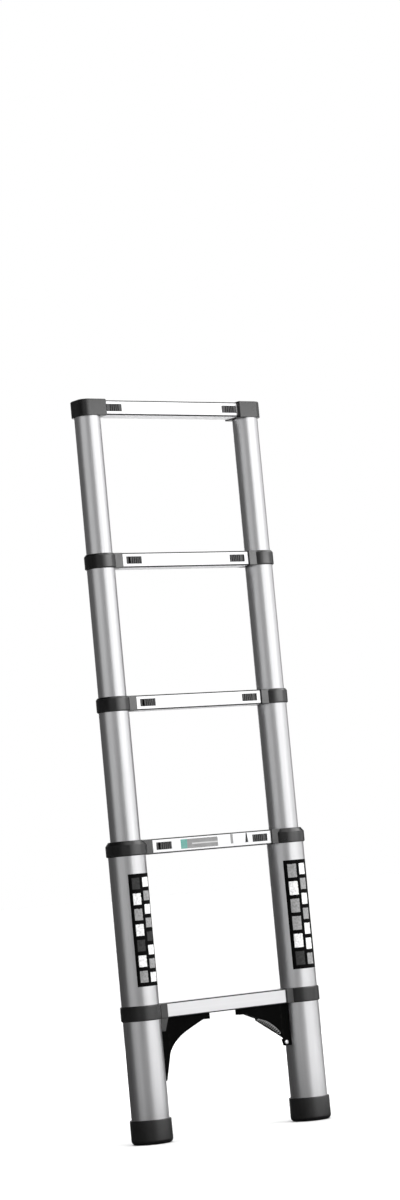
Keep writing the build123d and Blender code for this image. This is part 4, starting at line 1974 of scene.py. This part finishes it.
    def pocket(self) -> Piece:
        """The hollow behind the web, less its ribs.

        Returns:
            The block that cuts it.
        """
        skin = self.flange_skin * math.hypot(1.0, self.flange_slope)
        points = self.flange.beyond(0.0).short_of(self.reach - self.tip_length).points
        floor = tuple((out, max(height + skin, self.web.height(out) + self.skin)) for out, height in points)
        depth = (self.web_back, self.back + self.skin)
        hollow = self.slab("hollow", UnderLine(floor), self.top - self.skin, depth)
        hollow.combine(self.tube_rod(self.skin), Join.REMOVE)
        for place in self.ribs:
            rib_low = self.at(place - self.rib / 2, self.front, self.tail_end[1])
            rib_high = self.at(place + self.rib / 2, self.back + 2 * self.skin, 0.0)
            hollow.combine(Piece.box("rib", rib_low, rib_high), Join.REMOVE)
        return hollow

    def groove_cutter(self) -> Piece:
        """The bars that cut the fine grooves across the flange's underside.

        Returns:
            The bars as one mesh.
        """
        half = self.groove_width / 2
        tilt = self.flange_slope * half * UP
        front, back = self.web_back - self.sink, self.back - self.rim
        bars = []
        for index in range(self.grooves):
            place = self.groove_first + index * self.groove_pitch
            height = self.flange.height(place) + self.groove_depth
            middle = self.at(place, 0.0, height)
            low = self.at(place - half, front, height - self.flange_skin)
            bar = Piece.box("groove", low, self.at(place + half, back, height))
            bar.drag(lambda point: point.z > middle.z - self.sink and point.x > middle.x, tilt)
            bar.drag(lambda point: point.z > middle.z - self.sink and point.x < middle.x, -tilt)
            bar.drag(lambda point: point.y < middle.y, self.rise(place, front) * UP)
            bar.drag(lambda point: point.y > middle.y, self.rise(place, back) * UP)
            bars.append(bar)
        return Piece.joined(bars)


@dataclass
class RubberFeet:
    """The rubber boots on the lower ends of the stiles."""

    floor: float = 8.0 * MM
    sole_round: float = 8.5 * MM
    lip_round: float = 1.6 * MM
    fixed_gap: float = 0.1 * MM
    sole_radius: float = 35.0 * MM
    grooves: int = 4
    groove_pitch: float = 14.0 * MM
    groove_width: float = 4.0 * MM
    groove_depth: float = 2.5 * MM

    def build(self) -> None:
        """Makes the left foot and its mirrored twin."""
        self.foot().stand_for_pair("foot", FOOT_RUBBER)

    def foot(self) -> Piece:
        """The left foot: a boot with a rounded edge and a grooved sole.

        Returns:
            The foot.
        """
        span = Side.LEFT.span("foot")
        tube = Side.LEFT.span("tube_1")
        axis, radius = span.middle.x, span.size.y / 2
        profile = [(radius, span.low.z), (radius, span.high.z)]
        foot = Piece.turned(Side.LEFT.node("foot_moulded"), axis, profile, hollow=False)
        foot.bevel(self.sole_round, Round.SOLE, Edges.at_height(span.low.z))
        foot.bevel(self.lip_round, Round.MEDIUM, Edges.at_height(span.high.z))
        bore_foot = Vector((axis, 0.0, span.low.z + self.floor))
        bore = Piece.rod("bore", bore_foot, span.size.z, tube.size.y / 2 + self.fixed_gap)
        foot.combine(bore, Join.REMOVE)
        for across in spread_evenly(self.grooves, self.groove_pitch):
            reach = math.sqrt(self.sole_radius**2 - across**2)
            low = Vector((axis - reach, across - self.groove_width / 2, span.low.z - self.groove_depth))
            high = Vector((axis + reach, across + self.groove_width / 2, span.low.z + self.groove_depth))
            foot.combine(Piece.box("groove", low, high), Join.REMOVE)
        return foot


@dataclass
class Rivets:
    """The domed rivets at the back of each rung and on the brackets."""

    head_radius: float = 4.8 * MM
    head_height: float = 1.6 * MM
    shank_radius: float = 2.4 * MM
    shank: float = 6.0 * MM
    dome_steps: int = 6
    rung_inset: float = 20.0 * MM
    tie_place: Pair = (49.0 * MM, -93.0 * MM)
    rung_place: float = 128.0 * MM
    bracket_skin: float = CornerBrackets.skin
    pad_thickness: float = CornerBrackets.pad_thickness

    def build(self) -> None:
        """Makes the rivets of each rung and of the two brackets."""
        for level in LEVELS:
            span = Span.rung(level)
            out = span.high.x - self.rung_inset
            seats = [Vector((side * out, span.high.y, span.middle.z)) for side in (-1, 1)]
            self.commit(f"rung_rivets_{level}", [self.rivet(seat, Direction.Y) for seat in seats])
        self.commit("bracket_rivets", self.bracket_rivets())

    def rivet(self, at: Vector, way: Direction) -> Piece:
        """One domed rivet with its shank.

        Args:
            at: The middle of the head's seat.
            way: Where the dome points.

        Returns:
            The rivet.
        """
        profile = [(self.shank_radius, -self.shank), (self.shank_radius, 0.0), (self.head_radius, 0.0)]
        for step in range(1, self.dome_steps):
            turn = step / self.dome_steps * math.pi / 2
            profile.append((self.head_radius * math.cos(turn), self.head_height * math.sin(turn)))
        return Piece.turned("rivet", 0.0, profile, hollow=False).place(at, way)

    def bracket_rivets(self) -> list[Piece]:
        """The tie rivets in the brackets' pads and the rivets up into the bottom rung.

        Returns:
            The four rivets.
        """
        axis = Side.RIGHT.span("tube_1").middle.x
        rung = Span.rung(BOTTOM)
        front = Side.LEFT.span("bracket").low.y
        tie_x, tie_z = self.tie_place
        height = rung.middle.z + tie_z
        made = [
            self.rivet(Vector((tie_x - axis, front + self.pad_thickness, height)), Direction.Y),
            self.rivet(Vector((axis - tie_x, front, height)), Direction.FRONT),
        ]
        for side in (-1, 1):
            place = side * (axis - self.rung_place)
            under = Vector((place, self.bracket_skin / 2, rung.low.z - self.bracket_skin))
            made.append(self.rivet(under, Direction.DOWN))
        return made

    @staticmethod
    def commit(node: str, rivets: list[Piece]) -> None:
        """Makes rivets one piece that stands for a node.

        Args:
            node: The node.
            rivets: The rivets.
        """
        group = Piece.joined(rivets)
        group.obj.name = node + "_domed"
        group.stand_for(node, RIVET_METAL)


@dataclass
class Films:
    """The plain printed films on the two lowest tubes and on the second rung."""

    body: str = "base"
    slot: str = "bracket_plastic"
    low: float = 308.0 * MM
    high: float = 530.0 * MM
    left_start: float = math.radians(-36)
    right_start: float = math.radians(-48)
    end: float = math.radians(62)
    lift: float = 0.02 * MM
    thickness: float = 0.15 * MM
    sides: int = 360
    rung_level: int = 2
    rung_start: float = -78.0 * MM
    rung_end: float = 13.0 * MM
    rung_height: float = 19.0 * MM
    rung_corner: float = 0.6 * MM
    bar: Pair = (48.0 * MM, 6.0 * MM)
    bar_taper: float = 1.0
    wedge: Pair = (85.0 * MM, 7.0 * MM)
    wedge_taper: float = 0.3
    mark_height: float = 19.0 * MM
    mark_rise: float = 2.5 * MM

    def build(self) -> None:
        """Makes a film for each stile, and the film and the marks of the rung."""
        finished = (
            (self.film(Side.LEFT, self.left_start), LEFT_FILM),
            (self.film(Side.RIGHT, self.right_start), RIGHT_FILM),
            (self.rung_film(), RUNG_FILM),
            (self.mark("rung_bar", *self.bar, self.bar_taper), PALE_MARK),
            (self.mark("rung_wedge", *self.wedge, self.wedge_taper), DARK_MARK),
        )
        for piece, finish in finished:
            piece.ride(self.body, self.slot, finish)

    def film(self, side: Side, start: float) -> Piece:
        """One film, bent round the front of the lowest tube.

        Args:
            side: The stile.
            start: Where the film starts round the tube, from the front.

        Returns:
            The film.
        """
        tube = side.span("tube_1")
        axis, radius = tube.middle.x, tube.size.y / 2 + self.lift
        height = self.high - self.low
        foot = Vector((axis, 0.0, self.low))
        film = Piece.sleeve(side.node("film"), foot, height, radius, self.sides)
        for turn, way in ((start, -1), (self.end, 1)):
            film.slice(axis * ALONG_X, way * Vector((math.cos(turn), math.sin(turn), 0.0)), fill=False)
        film.wall(self.thickness, outwards=True)

        def spread(place: Vector) -> Pair:
            """How far round and up the film a point lies, in shares of the film's height."""
            turn = math.atan2(place.x - axis, -place.y)
            return (turn - start) * radius / height, (place.z - self.low) / height

        self.lay_map(film, spread)
        return film

    def rung_film(self) -> Piece:
        """The small film on the front of the second rung.

        Returns:
            The film.
        """
        rung = Span.rung(self.rung_level)
        half = self.rung_height / 2
        face = rung.low.y - self.lift
        low = Vector((self.rung_start, face - self.thickness, rung.middle.z - half))
        high = Vector((self.rung_end, face, rung.middle.z + half))
        film = Piece.box("rung_film", low, high)
        film.bevel(self.rung_corner, Round.SMALL, Edges.along(ALONG_Y))
        size = high - low
        self.lay_map(film, lambda place: ((place.x - low.x) / size.x, (place.z - low.z) / size.z))
        return film

    def mark(self, name: str, middle: float, breadth: float, taper: float) -> Piece:
        """One upright mark printed on the second rung.

        Args:
            name: The name of the piece.
            middle: Its place along X.
            breadth: How broad its foot is.
            taper: The breadth of its top as a share of its foot.

        Returns:
            The mark.
        """
        rung = Span.rung(self.rung_level)
        half = Vector((breadth / 2, 0.0, self.mark_height / 2))
        face = Vector((middle, rung.low.y - self.lift, rung.middle.z + self.mark_rise))
        mark = Piece.box(name, face - half - self.thickness * ALONG_Y, face + half)
        inset = breadth * (1 - taper) / 2 * ALONG_X
        mark.drag(lambda point: point.z > face.z and point.x < face.x, inset)
        return mark.drag(lambda point: point.z > face.z and point.x > face.x, -inset)

    @staticmethod
    def lay_map(film: Piece, spread: Callable[[Vector], Pair]) -> None:
        """Gives a film a map of its own.

        Args:
            film: The film.
            spread: Says where on the map a point lies.
        """
        mesh = film.obj.data
        layer = mesh.uv_layers.active or mesh.uv_layers.new()
        for loop in mesh.loops:
            layer.data[loop.index].uv = spread(mesh.vertices[loop.vertex_index].co)


class InnerPieces:
    """The pieces inside the ladder, which keep the shape of their nodes."""

    finishes: dict[str, Finish] = {"pin": TURNED_STEEL, "spring": SPRING_STEEL, "plug": PLUG_PLASTIC}

    def build(self) -> None:
        """Gives each inner node its finish."""
        for name, obj in frame["nodes"].items():
            kind = name.split("_")[1]
            if kind in self.finishes:
                for slot in obj.material_slots:
                    slot.material = self.finishes[kind].material()
                LOG.info("%s keeps its shape", name)


class Lit(Enum):
    """Which pieces a soft box lights."""

    ALL = "all"
    METAL = "metal"
    PLASTIC = "plastic"


@dataclass(frozen=True)
class SoftBox:
    """A rectangular soft light that looks at the middle of the ladder."""

    name: str
    azimuth: float
    height: float
    distance: float
    size: Pair
    brightness: float
    lit: Lit = Lit.ALL
    aim_height: ClassVar[float] = 0.75

    def hang(self, receivers: bpy.types.Collection | None) -> None:
        """Hangs the light; its azimuth runs in degrees from the ladder's front to its right.

        Args:
            receivers: The pieces that it lights, or None for all.
        """
        turn = math.radians(self.azimuth)
        data = bpy.data.lights.new(self.name, "AREA")
        data.shape = "RECTANGLE"
        data.size, data.size_y = self.size
        data.energy = self.brightness * math.pi * data.size * data.size_y
        light = bpy.data.objects.new(self.name, data)
        light.location = (self.distance * math.sin(turn), -self.distance * math.cos(turn), self.height)
        aim = self.aim_height * UP - light.location
        light.rotation_mode = "QUATERNION"
        light.rotation_quaternion = aim.to_track_quat("-Z", "Y")
        light.visible_camera = False
        bpy.context.scene.collection.objects.link(light)
        if receivers:
            light.light_linking.receiver_collection = receivers


@dataclass(frozen=True)
class FloorPool:
    """A round patch of light on the floor, as polished metal mirrors it."""

    place: Pair
    radius: float
    brightness: float
    core: ClassVar[float] = 0.6


@dataclass
class Studio:
    """A pale floor, soft light from the right and a camera where the photograph was taken."""

    camera_place: tuple[float, float, float] = (-3.6196, -5.1599, 0.4935)
    yaw: float = math.radians(35.342)
    pitch: float = math.radians(5.249)
    roll: float = math.radians(-5.328)
    focal_pixels: float = 3104.5
    frame_height: float = 1200.0
    sensor: float = 36.0
    floor_name: str = "floor"
    floor_size: float = 400.0
    floor_tone: float = 0.9
    floor_mirrored: float = 0.03
    pools: tuple[FloorPool, ...] = (
        FloorPool((0.55, -1.35), 1.3, 0.7),
        FloorPool((1.4, -0.3), 1.0, 0.4),
        FloorPool((-1.3, -0.7), 1.1, 0.2),
        FloorPool((0.42, 0.35), 0.28, 0.8),
    )
    floor_light: float = 1.07
    floor_light_angle: float = math.radians(70)
    backdrop: float = 1.0
    surround: float = 0.12
    overhead: float = 0.02
    overhead_rise: Pair = (0.3, 0.65)
    boxes: tuple[SoftBox, ...] = (
        SoftBox("key", 21.0, 2.0, 3.8, (5.4, 3.9), 1.45),
        SoftBox("side", 77.0, 1.3, 3.4, (2.7, 4.8), 0.9),
        SoftBox("fill", -79.0, 1.2, 3.2, (2.6, 4.4), 0.52, Lit.METAL),
        SoftBox("camera_side", -42.0, 1.2, 7.0, (5.0, 6.0), 0.34),
        SoftBox("sheen", 32.0, 1.4, 3.6, (3.4, 0.85), 4.0, Lit.PLASTIC),
        SoftBox("overhead", 20.0, 4.0, 1.1, (3.0, 2.4), 1.1, Lit.PLASTIC),
        SoftBox("upper_right", 80.0, 3.5, 2.5, (2.6, 2.0), 3.0, Lit.PLASTIC),
        SoftBox("back", 147.0, 1.5, 3.6, (2.6, 4.2), 1.1),
        SoftBox("rear_top", 180.0, 3.4, 1.7, (4.0, 2.2), 0.9, Lit.METAL),
    )

    def build(self) -> None:
        """Sets up the camera, the floor, the lights and the surround."""
        self.set_camera()
        self.light_floor(self.lay_floor())
        groups = self.receivers()
        for box in self.boxes:
            box.hang(groups.get(box.lit))
        self.set_surround()
        bpy.context.scene.view_settings.view_transform = "Standard"

    def receivers(self) -> dict[Lit, bpy.types.Collection]:
        """Sorts the visible pieces into metal and plastic.

        Returns:
            A collection for each kind.
        """
        groups = {lit: bpy.data.collections.new(lit.value) for lit in (Lit.METAL, Lit.PLASTIC)}
        metals = {finish.name for finish in METALS}
        for obj in bpy.context.scene.objects:
            if obj.type == "MESH" and obj.data.materials and obj.name != self.floor_name:
                metal = obj.data.materials[0].name in metals
                groups[Lit.METAL if metal else Lit.PLASTIC].objects.link(obj)
        return groups

    def set_camera(self) -> None:
        """Places the camera with its yaw, pitch and roll."""
        across = math.sin(self.yaw) * math.cos(self.pitch)
        along = math.cos(self.yaw) * math.cos(self.pitch)
        forward = Vector((across, along, math.sin(self.pitch)))
        level = Vector((math.cos(self.yaw), -math.sin(self.yaw), 0.0))
        upward = level.cross(forward)
        right = math.cos(self.roll) * level + math.sin(self.roll) * upward
        up = -math.sin(self.roll) * level + math.cos(self.roll) * upward
        data = bpy.data.cameras.new("camera")
        data.sensor_width = self.sensor
        data.lens = self.focal_pixels / self.frame_height * self.sensor
        camera = bpy.data.objects.new("camera", data)
        bpy.context.scene.collection.objects.link(camera)
        turn = Matrix((right, up, -forward)).transposed()
        camera.matrix_world = Matrix.Translation(self.camera_place) @ turn.to_4x4()
        bpy.context.scene.camera = camera

    def lay_floor(self) -> bpy.types.Object:
        """Lays a wide pale floor that is dimmer where metal mirrors it.

        Returns:
            The floor.
        """
        bpy.ops.object.select_all(action="DESELECT")
        bpy.ops.mesh.primitive_plane_add(size=self.floor_size)
        floor = bpy.context.active_object
        floor.name = self.floor_name
        material = bpy.data.materials.new("pale_floor")
        material.use_nodes = True
        board = Board(material.node_tree)
        mirrored = board.add("ShaderNodeLightPath").outputs["Is Glossy Ray"]
        tone = board.mix(mirrored, grey(self.floor_tone), self.mirrored_tone(board))
        shader = board.value("ShaderNodeBsdfDiffuse", {"Color": tone})
        board.add("ShaderNodeOutputMaterial", {"Surface": shader})
        floor.data.materials.append(material)
        return floor

    def mirrored_tone(self, board: Board) -> Socket:
        """The floor's tone in a mirror: dim, with its pools of light.

        Args:
            board: The floor material's board.

        Returns:
            The tone.
        """
        place = board.place()
        tone: object = self.floor_mirrored
        for pool in self.pools:
            ends = {0: place, 1: (*pool.place, 0.0)}
            distance = board.add("ShaderNodeVectorMath", ends, operation="DISTANCE").outputs["Value"]
            fade = (pool.core * pool.radius, pool.radius)
            glow = board.ranged(distance, fade, (pool.brightness, 0.0))
            tone = board.math("ADD", tone, glow)
        return tone

    def light_floor(self, floor: bpy.types.Object) -> None:
        """Lights the floor alone from above, so that it is as pale as the backdrop with a soft shadow.

        Args:
            floor: The floor.
        """
        data = bpy.data.lights.new("floor_light", "SUN")
        data.energy = self.floor_light * math.pi / self.floor_tone
        data.angle = self.floor_light_angle
        light = bpy.data.objects.new("floor_light", data)
        bpy.context.scene.collection.objects.link(light)
        receivers = bpy.data.collections.new("floor_only")
        receivers.objects.link(floor)
        light.light_linking.receiver_collection = receivers

    def set_surround(self) -> None:
        """Makes the room white to the camera, and to all else a dim grey that is darker overhead."""
        world = bpy.data.worlds.new("room")
        world.use_nodes = True
        bpy.context.scene.world = world
        board = Board(world.node_tree)
        seen = board.add("ShaderNodeLightPath").outputs["Is Camera Ray"]
        direction = board.add("ShaderNodeTexCoord").outputs["Generated"]
        rise = board.add("ShaderNodeSeparateXYZ", {"Vector": direction}).outputs["Z"]
        dim = board.ranged(rise, self.overhead_rise, (self.surround, self.overhead))
        background = board.value("ShaderNodeBackground", {"Color": board.mix(seen, dim, grey(self.backdrop))})
        board.add("ShaderNodeOutputWorld", {"Surface": background})


def main() -> None:
    """Builds every sub-assembly, then the studio."""
    logging.basicConfig(level=logging.INFO, format="%(name)s: %(message)s")
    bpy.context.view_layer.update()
    parts = (
        StileTubes(),
        LatchCollars(),
        BottomCollars(),
        TopCaps(),
        Rungs(),
        ThumbSliders(),
        CornerBrackets(),
        RubberFeet(),
        Rivets(),
        Films(),
        InnerPieces(),
        Studio(),
    )
    for part in parts:
        LOG.info("building %s", type(part).__name__)
        part.build()


if __name__ == "__main__":
    main()
